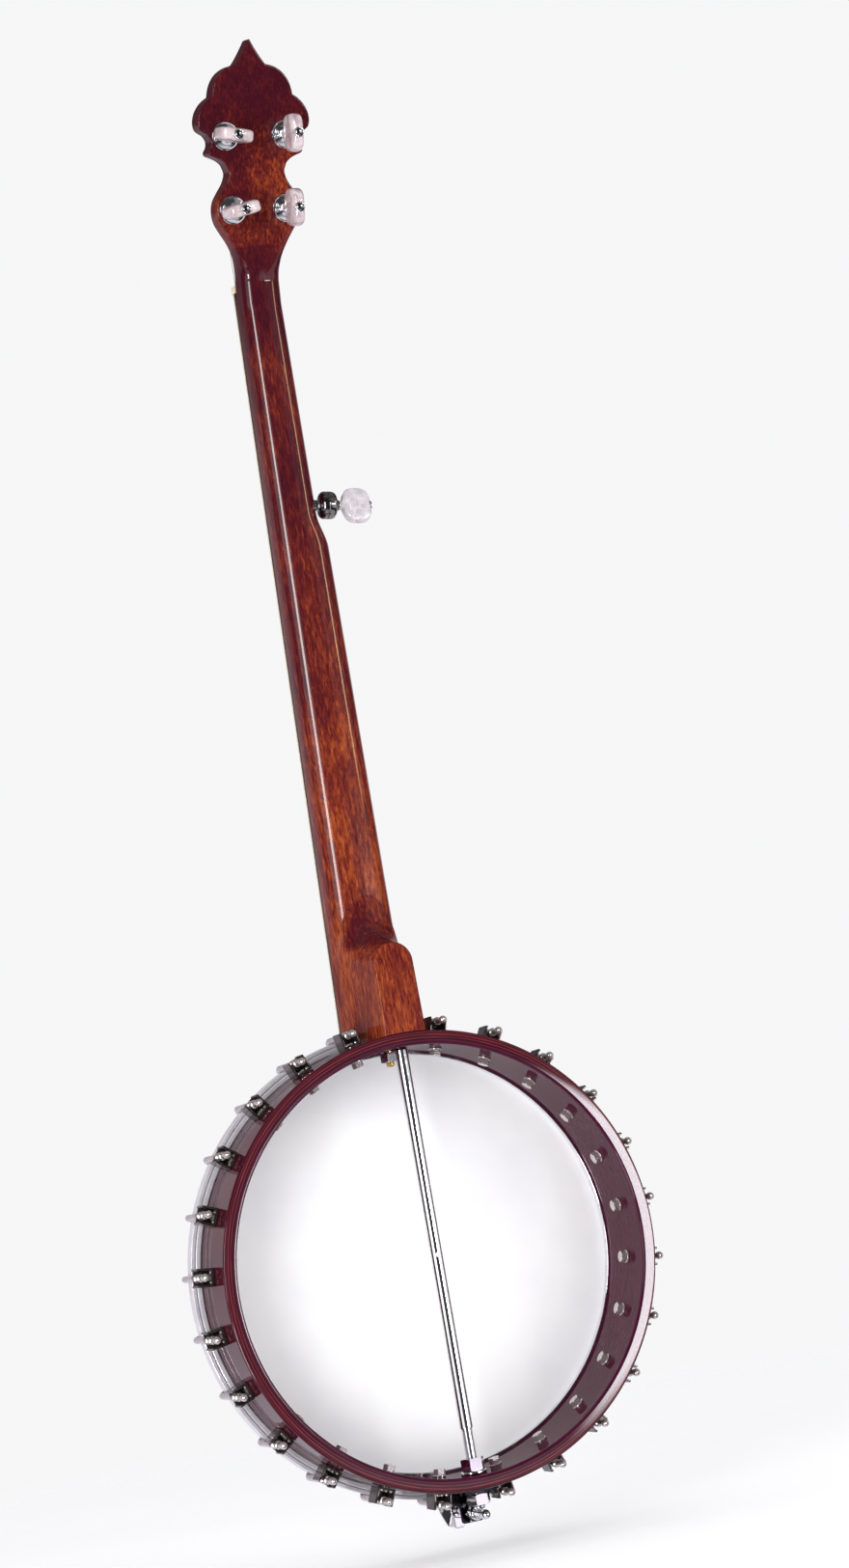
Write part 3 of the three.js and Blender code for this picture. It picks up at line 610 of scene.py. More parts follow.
def rim_plies():
    """Mirror-gloss stained maple: grain runs round the pot and red glue lines ring its back edge."""
    made, tree, shader, place = material("stained_maple_plies")
    x, y, z = split(tree, place)
    squares = math(tree, "MULTIPLY_ADD", x, x, math(tree, "MULTIPLY", z, z))
    radius = math(tree, "SQRT", squares)
    turns = 9.0
    along = node(tree, "ShaderNodeCombineXYZ", {
        "X": math(tree, "MULTIPLY", math(tree, "DIVIDE", x, radius), turns),
        "Y": math(tree, "MULTIPLY", math(tree, "DIVIDE", z, radius), turns),
        "Z": math(tree, "MULTIPLY", radius, 1100.0),
    }).outputs["Vector"]
    grain = node(tree, "ShaderNodeTexNoise", {
        "Vector": along, "W": math(tree, "MULTIPLY", y, 900.0), "Scale": 1.0, "Detail": 4.0,
    }, noise_dimensions="4D").outputs["Fac"]
    wobble = math(tree, "MULTIPLY_ADD", grain, 0.0006, radius)
    ply = remap(tree, wobble, (RIM_INNER + 0.3) * MM, (POT_RADIUS + 0.3) * MM, 0.0, 1.0)
    plies = ramp(tree, ply, PLIES)
    shade = ramp(tree, grain, [(0.32, (0.62, 0.58, 0.60)), (0.68, (1.22, 1.15, 1.1))])
    link(tree, shader, {
        "Base Color": blend_colours(tree, 1.0, plies, shade, "MULTIPLY"),
        "Roughness": remap(tree, grain, 0.3, 0.7, 0.32, 0.46),
        "Normal": bump(tree, grain, 0.06, 0.0002),
        "Coat Normal": bump(tree, noise(tree, place, 40, 2), 0.02, 0.0004),
        # the wall inside the pot is duller than the rest
        "Coat Weight": remap(tree, radius, (RIM_INNER + 0.5) * MM, (RIM_INNER + 1.5) * MM, 0.42, 0.75),
    })
    lacquer(shader, 0.02)
    shader.inputs["Specular IOR Level"].default_value = 0.0
    return made


def dark_wood(name, low, high, rough_low, rough_high):
    """Close-grained dark wood with long pores, as on fingerboards and headstock faces."""
    made, tree, shader, place = material(name)
    grain = noise(tree, stretched(tree, place, (1.0, 1.0, 0.05)), 700, 6, 0.65, 0.3)
    bands = noise(tree, stretched(tree, place, (1.0, 1.0, 0.1)), 90, 3)
    total = math(tree, "MULTIPLY_ADD", bands, 0.6, math(tree, "MULTIPLY", grain, 0.5))
    link(tree, shader, {
        "Base Color": ramp(tree, total, [(0.38, low), (0.72, high)]),
        "Roughness": remap(tree, grain, 0.3, 0.7, rough_low, rough_high),
        "Normal": bump(tree, grain, 0.25, 0.0003),
    })
    return made


def mottled(name, stops, rough, scale, detail, *, stretch=(1.0, 1.0, 1.0), swirl=0.0, relief=0.0):
    """A finish whose colour, gloss and relief, where it has one, all follow the same noise."""
    made, tree, shader, place = material(name)
    grain = noise(tree, stretched(tree, place, stretch), scale, detail, 0.6, swirl)
    link(tree, shader, {
        "Base Color": ramp(tree, grain, stops),
        "Roughness": remap(tree, grain, 0.3, 0.7, *rough),
    })
    if relief:
        link(tree, shader, {"Normal": bump(tree, grain, relief, 0.0002)})
    return made


def pale_maple():
    stops = [(0.3, (0.50, 0.30, 0.14)), (0.7, (0.74, 0.53, 0.30))]
    return mottled("bare_maple", stops, (0.42, 0.6), 900, 5, stretch=(0.08, 1.0, 1.0), relief=0.2)


def plated(name, low, high, rough_low, rough_high, metal=1.0):
    """Polished plate: faint smears and hairline scratches under a hard reflection."""
    made, tree, shader, place = material(name)
    smears = noise(tree, place, 120, 4, 0.6)
    scratches = noise(tree, stretched(tree, place, (1.0, 6.0, 1.0)), 900, 3, 0.7)
    shine = math(tree, "MULTIPLY_ADD", scratches, 0.4, math(tree, "MULTIPLY", smears, 0.6))
    link(tree, shader, {
        "Base Color": ramp(tree, smears, [(0.35, low), (0.65, high)]),
        "Roughness": remap(tree, shine, 0.35, 0.65, rough_low, rough_high),
        "Normal": bump(tree, scratches, 0.012, 0.0001),
    })
    shader.inputs["Metallic"].default_value = metal
    return made


def pearl(name, deepest, middle, palest):
    """Pearl plastic: cloudy, with a soft inner glow under a polished surface."""
    made, tree, shader, place = material(name)
    warp = noise(tree, place, 90, 3, 0.6, 1.2)
    bent = math(tree, "MULTIPLY", warp, 0.02)
    shifted = node(tree, "ShaderNodeVectorMath", {0: place, 1: bent}, operation="ADD").outputs[0]
    swirl = node(tree, "ShaderNodeTexVoronoi", {"Vector": shifted, "Scale": 190.0, "Randomness": 1.0},
                 feature="SMOOTH_F1").outputs["Distance"]
    total = math(tree, "MULTIPLY_ADD", swirl, 0.55, math(tree, "MULTIPLY", warp, 0.6))
    link(tree, shader, {
        "Base Color": ramp(tree, total, [(0.34, deepest), (0.50, middle), (0.66, palest)]),
        "Roughness": remap(tree, warp, 0.3, 0.7, 0.2, 0.34),
    })
    glow(shader, 0.3, (1.0, 0.75, 0.7), 0.003)
    lacquer(shader, 0.08, 0.7)
    return made


def shell_inlay():
    stops = [(0.35, (0.45, 0.52, 0.52)), (0.5, (0.80, 0.80, 0.76)), (0.65, (0.66, 0.58, 0.62))]
    return mottled("shell_inlay", stops, (0.12, 0.28), 420, 3, swirl=2.0)


def cream_plastic():
    stops = [(0.3, (0.62, 0.50, 0.33)), (0.7, (0.80, 0.71, 0.54))]
    return mottled("cream_bone", stops, (0.22, 0.4), 260, 4, relief=0.05)


def frosted_skin():
    """Frosted drum film: white, faintly cloudy, with a fine tooth."""
    made, tree, shader, place = material("frosted_film")
    clouds = noise(tree, place, 14, 3, 0.5)
    tooth = noise(tree, place, 2600, 2, 0.6)
    link(tree, shader, {
        "Base Color": ramp(tree, clouds, [(0.35, (0.84, 0.84, 0.86)), (0.6, (0.90, 0.90, 0.91))]),
        "Roughness": remap(tree, tooth, 0.3, 0.7, 0.45, 0.62),
        "Normal": bump(tree, tooth, 0.12, 0.00006),
    })
    glow(shader, 0.2, (1.0, 1.0, 1.0), 0.002)
    return made


MAHOGANY = mahogany()
RIM_PLIES = rim_plies()
EBONY = dark_wood("dark_board_wood", (0.010, 0.006, 0.005), (0.045, 0.024, 0.017), 0.32, 0.55)
HEAD_VENEER = dark_wood("dark_head_veneer", (0.008, 0.005, 0.005), (0.030, 0.016, 0.013), 0.12, 0.25)
MAPLE = pale_maple()
CHROME = plated("polished_chrome", (0.74, 0.74, 0.76), (0.84, 0.84, 0.86), 0.03, 0.09)
# painted reflection: the hoops' chrome has a pale lavender colour that shows diffusely, standing in for the
# bright soft boxes mirrored in it
PALE_PAINTED_CHROME = plated("pale_painted_chrome", (0.64, 0.62, 0.67), (0.76, 0.74, 0.79), 0.07, 0.16, metal=0.35)
NICKEL = plated("worn_nickel", (0.54, 0.49, 0.49), (0.68, 0.63, 0.62), 0.05, 0.13, metal=0.75)
DARK_NICKEL = plated("dark_nickel", (0.060, 0.048, 0.046), (0.115, 0.096, 0.090), 0.12, 0.24, metal=0.75)
# painted shade: chrome with a darkened colour, standing in for the dark surroundings mirrored in the fifth
# peg's housing and the buttons' domed screws
SHADED_CHROME = plated("chrome_painted_dark", (0.20, 0.19, 0.19), (0.30, 0.29, 0.29), 0.05, 0.12)
BLACK_PLATE = plated("black_plate", (0.012, 0.012, 0.014), (0.035, 0.035, 0.04), 0.05, 0.16)
FRET_METAL = plated("fret_nickel", (0.52, 0.50, 0.46), (0.68, 0.66, 0.60), 0.16, 0.30)
STRING_STEEL = plated("string_steel", (0.45, 0.45, 0.46), (0.60, 0.60, 0.60), 0.18, 0.32)
BRASS = plated("lacquered_brass", (0.52, 0.36, 0.12), (0.70, 0.52, 0.22), 0.12, 0.26)
PEARL = pearl("grey_pearl", (0.31, 0.23, 0.25), (0.45, 0.36, 0.38), (0.60, 0.51, 0.53))
# painted light: the fifth peg's button pearl is painted paler than the others, standing in for light
# shining through it
PALER_PEG_PEARL = pearl("pearl_painted_paler", (0.42, 0.37, 0.40), (0.53, 0.49, 0.52), (0.64, 0.60, 0.64))
SHELL = shell_inlay()
CREAM = cream_plastic()
FILM = frosted_skin()


# ---------------------------------------------------------------- pot

def bracket_angles():
    """Angles about the pot's axis, from the neck: down the bass side, then up the treble side."""
    side = [FIRST_BRACKET + i * BRACKET_STEP for i in range(BRACKETS_PER_SIDE)]
    return [-a for a in side] + list(reversed(side))


def wood_rim():
    front = rounded([
        (RIM_INNER, RIM_FRONT), (RIM_NECKED, RIM_FRONT), (RIM_NECKED, 8.0), (POT_RADIUS, 9.0),
    ], 0.4, 2)[2:-2]
    back = rounded([
        (POT_RADIUS, 40.0), (POT_RADIUS, RIM_BACK), (RIM_INNER, RIM_BACK), (RIM_INNER, 40.0),
    ], RIM_ROUND, 8, closed=False)
    body = lathe([(RIM_INNER, RIM_FRONT), *front, (POT_RADIUS, 9.4), *back], VERY_ROUND)
    holes = []
    for a in bracket_angles():
        hole = along_z(cylinder(SHOE_BOLT + 0.2, RIM_INNER - 3, POT_RADIUS + 3, 16), SHOE_DEPTH)
        holes.append(moved(hole, matrix=Matrix.Rotation(a, 4, "Y")))
    holes.append(along_z(cylinder(ROD_WIRE + 0.4, -150, 150, 24), ROD_Y))
    piece("wood_rim", "maple_rim", (cut(body, together(*holes)), RIM_PLIES))


def tone_ring():
    inner = RIM_INNER - 1.5
    profile = rounded([
        (inner, RIM_FRONT), (inner, 0.9), (inner + 1.2, 0.3), (RIM_NECKED - 1.4, 0.3),
        (RIM_NECKED, 2.0), (RIM_NECKED, RIM_FRONT),
    ], 0.8, 4)
    piece("tone_ring", "chrome", (lathe(profile, ROUND), CHROME))


def head():
    """The film with its collar, and the metal flesh hoop that it is crimped into."""
    collar = RIM_NECKED + 0.1
    flat = [(r, 0.0) for r in (0, 30, 60, 90, 118, RIM_NECKED - 3)]
    inside = [*flat, (RIM_NECKED - 1.2, 0.25), (RIM_NECKED - 0.2, 0.9), (collar + 0.15, 1.8),
              (collar + 0.15, 5.6)]
    outside = [(r, -SKIN) for r, _ in flat]
    outside += [(RIM_NECKED - 0.9, -0.1), (collar + 0.3, 0.6), (collar + 0.55, 1.8), (collar + 0.55, 5.6)]
    film = lathe([*inside, *reversed(outside)], ROUND)
    hoop = flat_ring(collar + 0.7, HOOP_INNER - 0.4, 3.2, 7.0, 0.7, 5, VERY_ROUND)
    # the flesh hoop's pale chrome colour is a painted reflection
    piece("head", "frosted_skin", (film, FILM), (hoop, PALE_PAINTED_CHROME))


def tension_hoop():
    """An angle ring: its lip presses on the flesh hoop."""
    lip = POT_RADIUS + 0.7
    profile = rounded([
        (HOOP_INNER, 0.9), (lip, 0.9), (lip, -1.9), (HOOP_INNER, -1.9), (HOOP_INNER, HOOP_FRONT),
        (HOOP_OUTER, HOOP_FRONT), (HOOP_OUTER, HOOP_BACK), (HOOP_INNER, HOOP_BACK),
    ], 0.6, 5)
    # the hoop's pale chrome colour is a painted reflection
    piece("tension_hoop", "chrome", (lathe(profile, VERY_ROUND), PALE_PAINTED_CHROME))


def shoe():
    """The channel that the hook's nut pulls against: two cheeks, a foot and a web."""
    half = 5.7
    foot = POT_RADIUS + 0.15
    top = HOOK_RADIUS + 2.7
    front = SHOE_DEPTH - 10
    back = SHOE_DEPTH + 4.5
    sheet = 1.4
    cheek_outline = rounded(rectangle(front, foot, back, top), 1.1, 4)
    cheeks = []
    for x in (-half, half - sheet):
        sides = [[(x + dx, y, z) for y, z in cheek_outline] for dx in (0, sheet)]
        cheeks.append(bevelled(loft(sides), 0.3))
    inside = half - 0.6
    base = bevelled(prism(rectangle(-inside, foot, inside, foot + 1.6), front + 0.4, back - 0.4), 0.3)
    web_outline = rounded(rectangle(-inside, foot + 1, inside, top - 0.6), 1.0, 3)
    web = bevelled(prism(web_outline, front + 0.3, front + 2.6), 0.3)
    return together(*cheeks, base, web)


def studs():
    """Two small bright rivets in the foot of the shoe."""
    foot = POT_RADIUS + 1.5
    profile = [(0, foot), (1.0, foot), (1.0, foot + 0.7), (0.7, foot + 1.1), (0, foot + 1.3)]
    both = [along_z(lathe(profile, 20), SHOE_DEPTH + 3.0, x) for x in (-3.0, 3.0)]
    return together(*both)


def hook():
    """A round hook that grips the hoop, with a threaded end for its nut."""
    bend = 3.6
    centre_y = HOOP_FRONT + 1
    centre_z = HOOK_RADIUS - bend
    arc = [radians(a) for a in spread(0, 112, 15)]
    path = [(0, y, HOOK_RADIUS) for y in spread(19, centre_y + 0.5, 5)]
    path += [(0, centre_y - bend * sin(a), centre_z + bend * cos(a)) for a in arc]
    wire = tube(path, HOOK_WIRE, 16)
    slim = HOOK_WIRE - 0.35
    threaded = lathe([(0, 17), (HOOK_WIRE, 17), (HOOK_WIRE, 19.4), (slim - 0.3, 20.0),
                      *thread(slim, 20.4, SHOE_DEPTH, 0.9, 0.32), (0, SHOE_DEPTH)], 24)
    return together(wire, moved(threaded, at=(0, 0, HOOK_RADIUS)))


def ball_nut():
    """A long slim nut turned in two rings, with a ball end that has a small dimple."""
    base = SHOE_DEPTH - 7
    rings = []
    for low, high in ((base, base + 2.6), (base + 7.4, base + 10.4)):
        rings += [(1.7, low - 0.5), (2.3, low), (2.6, low + 0.5), (2.7, high - 0.8), (2.5, high - 0.2),
                  (2.1, high), (1.6, high + 0.4), (1.5, high + 1.2)]
    tip = base + 20.0
    ball = [(1.4, -5.0), (1.4, -3.0), (1.9, -2.3), (2.3, -1.3), (2.45, -0.2), (2.35, 0.9), (1.95, 1.9),
            (1.4, 2.5), (0.9, 2.65), (0.6, 2.3), (0, 2.2)]
    profile = [(0, base - 0.5), *rings, *[(r, tip + y) for r, y in ball]]
    return moved(lathe(profile), at=(0, 0, HOOK_RADIUS))


def shoe_bolt():
    """The bolt that holds the shoe, with its washer and hexagonal head inside the pot."""
    wall = RIM_INNER
    head_low = wall - 5.2
    washer = flat_ring(SHOE_BOLT, 4.0, wall - 1.0, wall - 0.05, 0.3)
    six = hex_nut(6.5, 1.2, head_low + 0.4, wall - 0.9)
    cap = lathe([(0, head_low - 0.1), (1.2, head_low + 0.02), (2.2, head_low + 0.25), (2.9, head_low + 0.6),
                 (2.9, wall - 1), (0, wall - 1)])
    shaft = cylinder(SHOE_BOLT, wall - 1, POT_RADIUS + 2.6, 20)
    return along_z(together(washer, six, cap, shaft), SHOE_DEPTH)


def brackets():
    mesh = to_mesh("bracket", [
        (shoe(), DARK_NICKEL), (together(hook(), ball_nut(), studs()), NICKEL), (shoe_bolt(), NICKEL),
    ])
    for i, a in enumerate(bracket_angles(), start=1):
        piece(f"bracket_{i:02d}", "chrome", mesh, matrix=Matrix.Rotation(a, 4, "Y"))


# ---------------------------------------------------------------- neck

def treble_half(z):
    return mix(TREBLE_AT_POT, TREBLE_AT_NUT, (z - BOARD_END_Z) / (NUT_Z - BOARD_END_Z))


def bass_half(z):
    if z < STEP_LOW_Z:
        return mix(BASS_AT_POT, BASS_AT_STEP, (z - BOARD_END_Z) / (STEP_LOW_Z - BOARD_END_Z))
    if z > STEP_HIGH_Z:
        return mix(BASS_ABOVE_STEP, BASS_AT_NUT, between(STEP_HIGH_Z, NUT_Z, z))
    return mix(BASS_AT_STEP, BASS_ABOVE_STEP, smooth(between(STEP_LOW_Z, STEP_HIGH_Z, z)))


def bezier(*points):
    """A short list of points along a Bezier curve, without its first point."""
    result = []
    for t in spread(0, 1, 11)[1:]:
        row = [Vector(p) for p in points]
        while len(row) > 1:
            row = [a.lerp(b, t) for a, b in zip(row, row[1:])]
        result.append(row[0])
    return result


HEADSTOCK_SIDE = [                             # half width and height, from the nut to the tip
    *curve_through([
        (14.8, 0), (14.7, 12), (16, 22), (19.6, 30.6), (24.2, 38), (27.6, 44.5),
        (28.6, 51), (27.6, 57.5), (24.2, 63.5), (20.6, 69), (18.7, 75), (20.2, 80),
    ], 6),
    *bezier((20.2, 80), (22, 83.6), (30, 86.2)),
    *bezier((30, 86.2), (31.6, 87), (32.0, 88), (31.4, 89.4)),
    *bezier((31.4, 89.4), (27.0, 95.2), (32.6, 100.2)),
    *bezier((32.6, 100.2), (35.4, 101.2), (36.8, 103.4)),
    *bezier((36.8, 103.4), (38.8, 108), (37, 118), (27, 123.5)),
    *bezier((27, 123.5), (26, 133), (21, 141), (9.8, 142.8)),
    *bezier((9.8, 142.8), (5, 149), (0, HEADSTOCK_LENGTH)),
]


def headstock_half(s):
    """Half width of the headstock at height s above the nut."""
    side = HEADSTOCK_SIDE
    if s <= side[0][1]:
        return side[0][0]
    for a, b in zip(side, side[1:]):
        if a[1] <= s <= b[1] and b[1] > a[1]:
            return mix(a[0], b[0], (s - a[1]) / (b[1] - a[1]))
    return 0.0


def worn_half(s, round_off):
    """Half width of the headstock where its edge is rounded off by that much all round."""
    if round_off <= 0:
        return headstock_half(s)
    result = 1e9
    for k in range(-6, 7):
        ds = round_off * k / 6
        result = min(result, headstock_half(s + ds) - sqrt(max(round_off ** 2 - ds ** 2, 0)))
    return max(result, 0.02)


HEADSTOCK = (
    Matrix.Translation((HEADSTOCK_X, board_face(NUT_Z) + BOARD_THICKNESS + 1.5, NUT_Z))
    @ Matrix.Rotation(-HEADSTOCK_TILT, 4, "X")
)
SIDE_STEPS = 34                                # points of the neck's outline on each side
CORNER_STEPS = 7
FLAT_STEPS = 6
UPRIGHT_STEPS = SIDE_STEPS - CORNER_STEPS - FLAT_STEPS + 2
SHIELD_TOP = 47.0                              # where the shield-shaped flat reaches full width
EDGE_ROUND = 1.1                               # rounding of the headstock's edges


def shaft_section(z):
    """The neck's D-shaped cross-section at height z, from the treble edge round to the bass edge."""
    front = board_face(z) + BOARD_THICKNESS + 0.1
    depth = mix(NECK_DEPTH_AT_HEEL, NECK_DEPTH_AT_NUT, between(215, NUT_Z, z))
    half = (treble_half(z) + bass_half(z)) / 2
    centre = (treble_half(z) - bass_half(z)) / 2
    right = []
    for a in spread(0, pi / 2, SIDE_STEPS):
        right.append((half * cos(a) ** 0.8, front + depth * sin(a) ** 0.8))
    return [(centre + x, y, z) for x, y in right] + [(centre - x, y, z) for x, y in reversed(right[:-1])]


def side_curve(half, ridge, back, bend):
    """From the front edge (half, 0) to the ridge (ridge, back), bulging outwards like the neck."""
    end = radians(90 - bend)
    points = []
    for a in spread(0, end, 13):
        across = (cos(a) ** 0.8 - cos(end) ** 0.8) / (1 - cos(end) ** 0.8)
        points.append((ridge + (half - ridge) * across, back * (sin(a) / sin(end)) ** 0.8))
    return points


def spaced(points, count):
    """count points at equal steps along an open line."""
    points = [Vector(p) for p in points]
    lengths = [0.0]
    for a, b in zip(points, points[1:]):
        lengths.append(lengths[-1] + (b - a).length)
    result = []
    for d in spread(0, lengths[-1], count):
        i = 0
        while i < len(points) - 2 and lengths[i + 1] < d:
            i += 1
        span = max(lengths[i + 1] - lengths[i], 1e-9)
        result.append(tuple(points[i].lerp(points[i + 1], min((d - lengths[i]) / span, 1))))
    return result


def with_corner(side, corner, radius):
    """A side line that meets the flat back in a small rounded corner, on to the middle line."""
    b = Vector(corner)
    start = next(i for i, p in enumerate(side) if (Vector(p) - b).length < radius * 1.2)
    a = Vector(side[max(start - 1, 1)])
    c = Vector((corner[0] - radius, corner[1]))
    bend = [tuple(a * (1 - t) ** 2 + b * (2 * t * (1 - t)) + c * t * t) for t in spread(0, 1, CORNER_STEPS)]
    upright = spaced([*side[:max(start - 1, 1)], tuple(a)], UPRIGHT_STEPS)
    flat = [(mix(c.x, 0, t), corner[1]) for t in spread(0, 1, FLAT_STEPS)]
    return [*upright[:-1], *bend, *flat[1:]]


def board_half_section(s, half, back):
    """Half of the flat headstock's cross-section: upright sides with small rounded edges."""
    front_edge = []
    for t in spread(0, pi / 2, 5):
        front_edge.append((worn_half(s, EDGE_ROUND * (1 - sin(t))), EDGE_ROUND * (1 - cos(t))))
    upright = spaced([*front_edge, (half, back - EDGE_ROUND)], UPRIGHT_STEPS)
    back_edge = []
    for t in spread(0, pi / 2, CORNER_STEPS):
        back_edge.append((worn_half(s, EDGE_ROUND * (1 - cos(t))), back - EDGE_ROUND * (1 - sin(t))))
    flat = [(mix(back_edge[-1][0], 0, t), back) for t in spread(0, 1, FLAT_STEPS)]
    return [*upright[:-1], *back_edge, *flat[1:]]


def head_section(s):
    """The cross-section at height s up the headstock: round, then a shield-shaped flat, then a board."""
    half = headstock_half(s)
    if s < 20:
        half *= mix((TREBLE_AT_NUT + BASS_AT_NUT) / 2 / headstock_half(0), 1, smooth(s / 20))
    neck_like = 1 - smooth(between(-4, 34, s))
    back = HEADSTOCK_THICKNESS + 2.4 * neck_like ** 2
    ridge = min(mix(5.2, 27.0, between(7, SHIELD_TOP, s)), half - EDGE_ROUND)
    round_side = [(half * cos(a) ** 0.8, back * sin(a) ** 0.8) for a in spread(0, pi / 2, SIDE_STEPS)]
    shield = with_corner(side_curve(half, ridge, back, mix(24, 45, between(7, 40, s))), (ridge, back), 2.4)
    board = board_half_section(s, half, back)
    to_shield = smooth(between(4, 17, s))
    to_board = smooth(between(SHIELD_TOP - 12, SHIELD_TOP + 8, s))
    shift = mix((TREBLE_AT_NUT - BASS_AT_NUT) / 2 - HEADSTOCK_X, 0, between(0, 40, s))
    points = []
    for neck_point, shield_point, board_point in zip(round_side, shield, board):
        lower = Vector(neck_point).lerp(Vector(shield_point), to_shield)
        points.append(lower.lerp(Vector(board_point), to_board))
    ring = [(shift + x, h, s) for x, h in points] + [(shift - x, h, s) for x, h in reversed(points[:-1])]
    return [tuple(HEADSTOCK @ Vector(p)) for p in ring]


def headstock_heights():
    """Heights of the headstock's cross-sections, closer together where the outline turns."""
    heights = spread(6, 60, 73) + spread(61, 140, 130) + spread(140.6, 157.9, 40)
    return [*heights, HEADSTOCK_LENGTH - 0.15]


def heel():
    """The heel: tongue-shaped outlines stacked from inside the neck back to the flat tongue.

    Each level has a depth, a half width, the height of its top and the height of its rounded part.
    The levels near the neck are drawn out upwards, so that the heel sweeps into the neck's back.
    """
    half = TONGUE_HALF + 0.1
    levels = curve_through([
        (6, 21.4, 233, 44), (15, 20.2, 233, 43), (19, 19.3, 233, 42), (22, 18.4, 233, 41),
        (23, 18.0, 231, 39), (24.2, 17.6, 224, 33), (26, 17.3, 217.5, 28), (29, 16.8, 211, 24),
        (34, 16.1, 205, 20), (42, 15.0, 200.3, 16.5), (50, 13.9, 197.8, 14.2),
        (57.4, half, HEEL_TOP_Z, half),
    ], 5)
    for a in spread(0, pi / 2, 9)[1:]:
        edge = 2.0 * (1 - cos(a))
        levels.append(Vector((57.4 + 2.3 * sin(a), half - edge, HEEL_TOP_Z - edge, half - edge)))
    sections = []
    for y, half, top, rise in levels:
        arc = [(half * cos(a), y, top - rise + rise * sin(a)) for a in spread(0, pi, 49)]
        sections.append([(half + 1.0, y, 118), *arc, (-half - 1.0, y, 118)])
    return loft(sections)


def neck():
    """The shaft, headstock and heel in one, with room cut out for the pot and its hoop."""
    heights = spread(118, 452, 60) + spread(455, 486, 32) + spread(492, 622, 24)
    shaft = loft([shaft_section(z) for z in heights] + [head_section(s) for s in headstock_heights()])
    pot = cylinder(POT_RADIUS + 0.1, 8.4, 75, 360)
    hoop = cylinder(HOOP_OUTER + 0.4, -30, 9.0, 360)
    body = cut(boolean("UNION", shaft, heel()), pot, hoop)
    piece("neck", "mahogany", (body, MAHOGANY), crease=32)


def veneer():
    """The dark face of the headstock, with two small pale diamonds let into it."""
    sections = []
    for s in spread(7, 140, 170) + spread(140.6, 157.9, 36):
        half = headstock_half(s)
        worn = worn_half(s, 0.5)
        sections.append([(half, 0, s), (-half, 0, s), (-half, 0.5 - VENEER, s), (-worn, -VENEER, s),
                         (worn, -VENEER, s), (half, 0.5 - VENEER, s)])
    diamonds = []
    for s, size in ((124.0, 1.0), (75.5, 0.8)):
        diamond = [(0, s - 9 * size), (3.2 * size, s), (0, s + 9 * size), (-3.2 * size, s)]
        diamonds.append(prism(rounded(diamond, 1.2, 3), -VENEER - 0.06, -VENEER + 0.4))
    piece("headstock_veneer", "rosewood", (moved(loft(sections), matrix=HEADSTOCK), HEAD_VENEER),
          (moved(together(*diamonds), matrix=HEADSTOCK), SHELL))


BOARD = Matrix.Translation((0, board_face(NUT_Z), NUT_Z)) @ Matrix.Rotation(-NECK_SET, 4, "X")


def along_board(z):
    return (z - NUT_Z) / cos(NECK_SET)


def fret_heights():
    return [NUT_Z - SCALE_LENGTH * (1 - 2 ** (-n / 12)) * cos(NECK_SET) for n in range(1, FRETS + 1)]


def on_board(shape, x=0.0, y=0.0, z=NUT_Z):
    """A shape drawn at the nut's end of the fingerboard, put at its place along it."""
    return moved(moved(shape, at=(x, y, along_board(z))), matrix=BOARD)


def board_strip(edge_at):
    """A strip along the whole board, from its cross-section (x, y) at each height."""
    rows = [BOARD_END_Z, *spread(BOARD_END_Z + 1, STEP_LOW_Z - 4, 40), *spread(STEP_LOW_Z, STEP_HIGH_Z, 25),
            *spread(STEP_HIGH_Z + 4, NUT_Z - 0.3, 20)]
    return on_board(loft([[(x, y, along_board(z)) for x, y in edge_at(z)] for z in rows]))


def board_edge(z):
    """The board's dark wood, with a step on each side for the binding."""
    left = -bass_half(z)
    right = treble_half(z)
    return [(left + BINDING, 0), (right - BINDING, 0), (right - BINDING, BINDING_DEEP),
            (right, BINDING_DEEP), (right, BOARD_THICKNESS), (left, BOARD_THICKNESS),
            (left, BINDING_DEEP), (left + BINDING, BINDING_DEEP)]


def treble_binding(z, half=treble_half):
    """The cream strip's cross-section, with its outer face half(z) away from the middle line."""
    outer = half(z)
    inner = outer - BINDING
    return [(inner, 0), (outer - 0.5, 0), (outer - 0.1, 0.15), (outer, 0.6), (outer, BINDING_DEEP),
            (inner, BINDING_DEEP)]


def bass_binding(z):
    return [(-x, y) for x, y in treble_binding(z, bass_half)]


def fret(z):
    """A fret wire: a low crown that runs out at both ends."""
    left = -bass_half(z) + 0.4
    right = treble_half(z) - 0.4
    crown = [(1.25 * cos(a), -0.95 * sin(a)) for a in spread(0, pi, 9)] + [(-0.4, 0.6), (0.4, 0.6)]
    ends = []
    for x, size in ((left, 0.5), (left + 0.6, 1), (right - 0.6, 1), (right, 0.5)):
        ends.append([(x, y * size if y < 0 else y, dz * size) for dz, y in crown])
    return on_board(loft(ends), z=z)


def position_dots():
    """Dots on the face of the board, and small ones along its bass side."""
    heights = [NUT_Z, *fret_heights()]
    on_face = []
    on_side = []
    for n in DOTTED_FRETS:
        z = (heights[n - 1] + heights[n]) / 2
        middle = (treble_half(z) - bass_half(z)) / 2
        for x in (middle - 6.5, middle + 6.5) if n == 12 else (middle,):
            on_face.append(on_board(lathe([(0, -0.04), (2.6, -0.04), (2.7, 0.3), (0, 0.3)]), x, 0, z))
        if n <= LAST_SIDE_DOT:
            dot = moved(cylinder(0.7, 0, 0.4, 20), turn=90, axis="Z")
            on_side.append(on_board(dot, -bass_half(z) + 0.35, 1.3, z))
    return together(*on_face), together(*on_side)


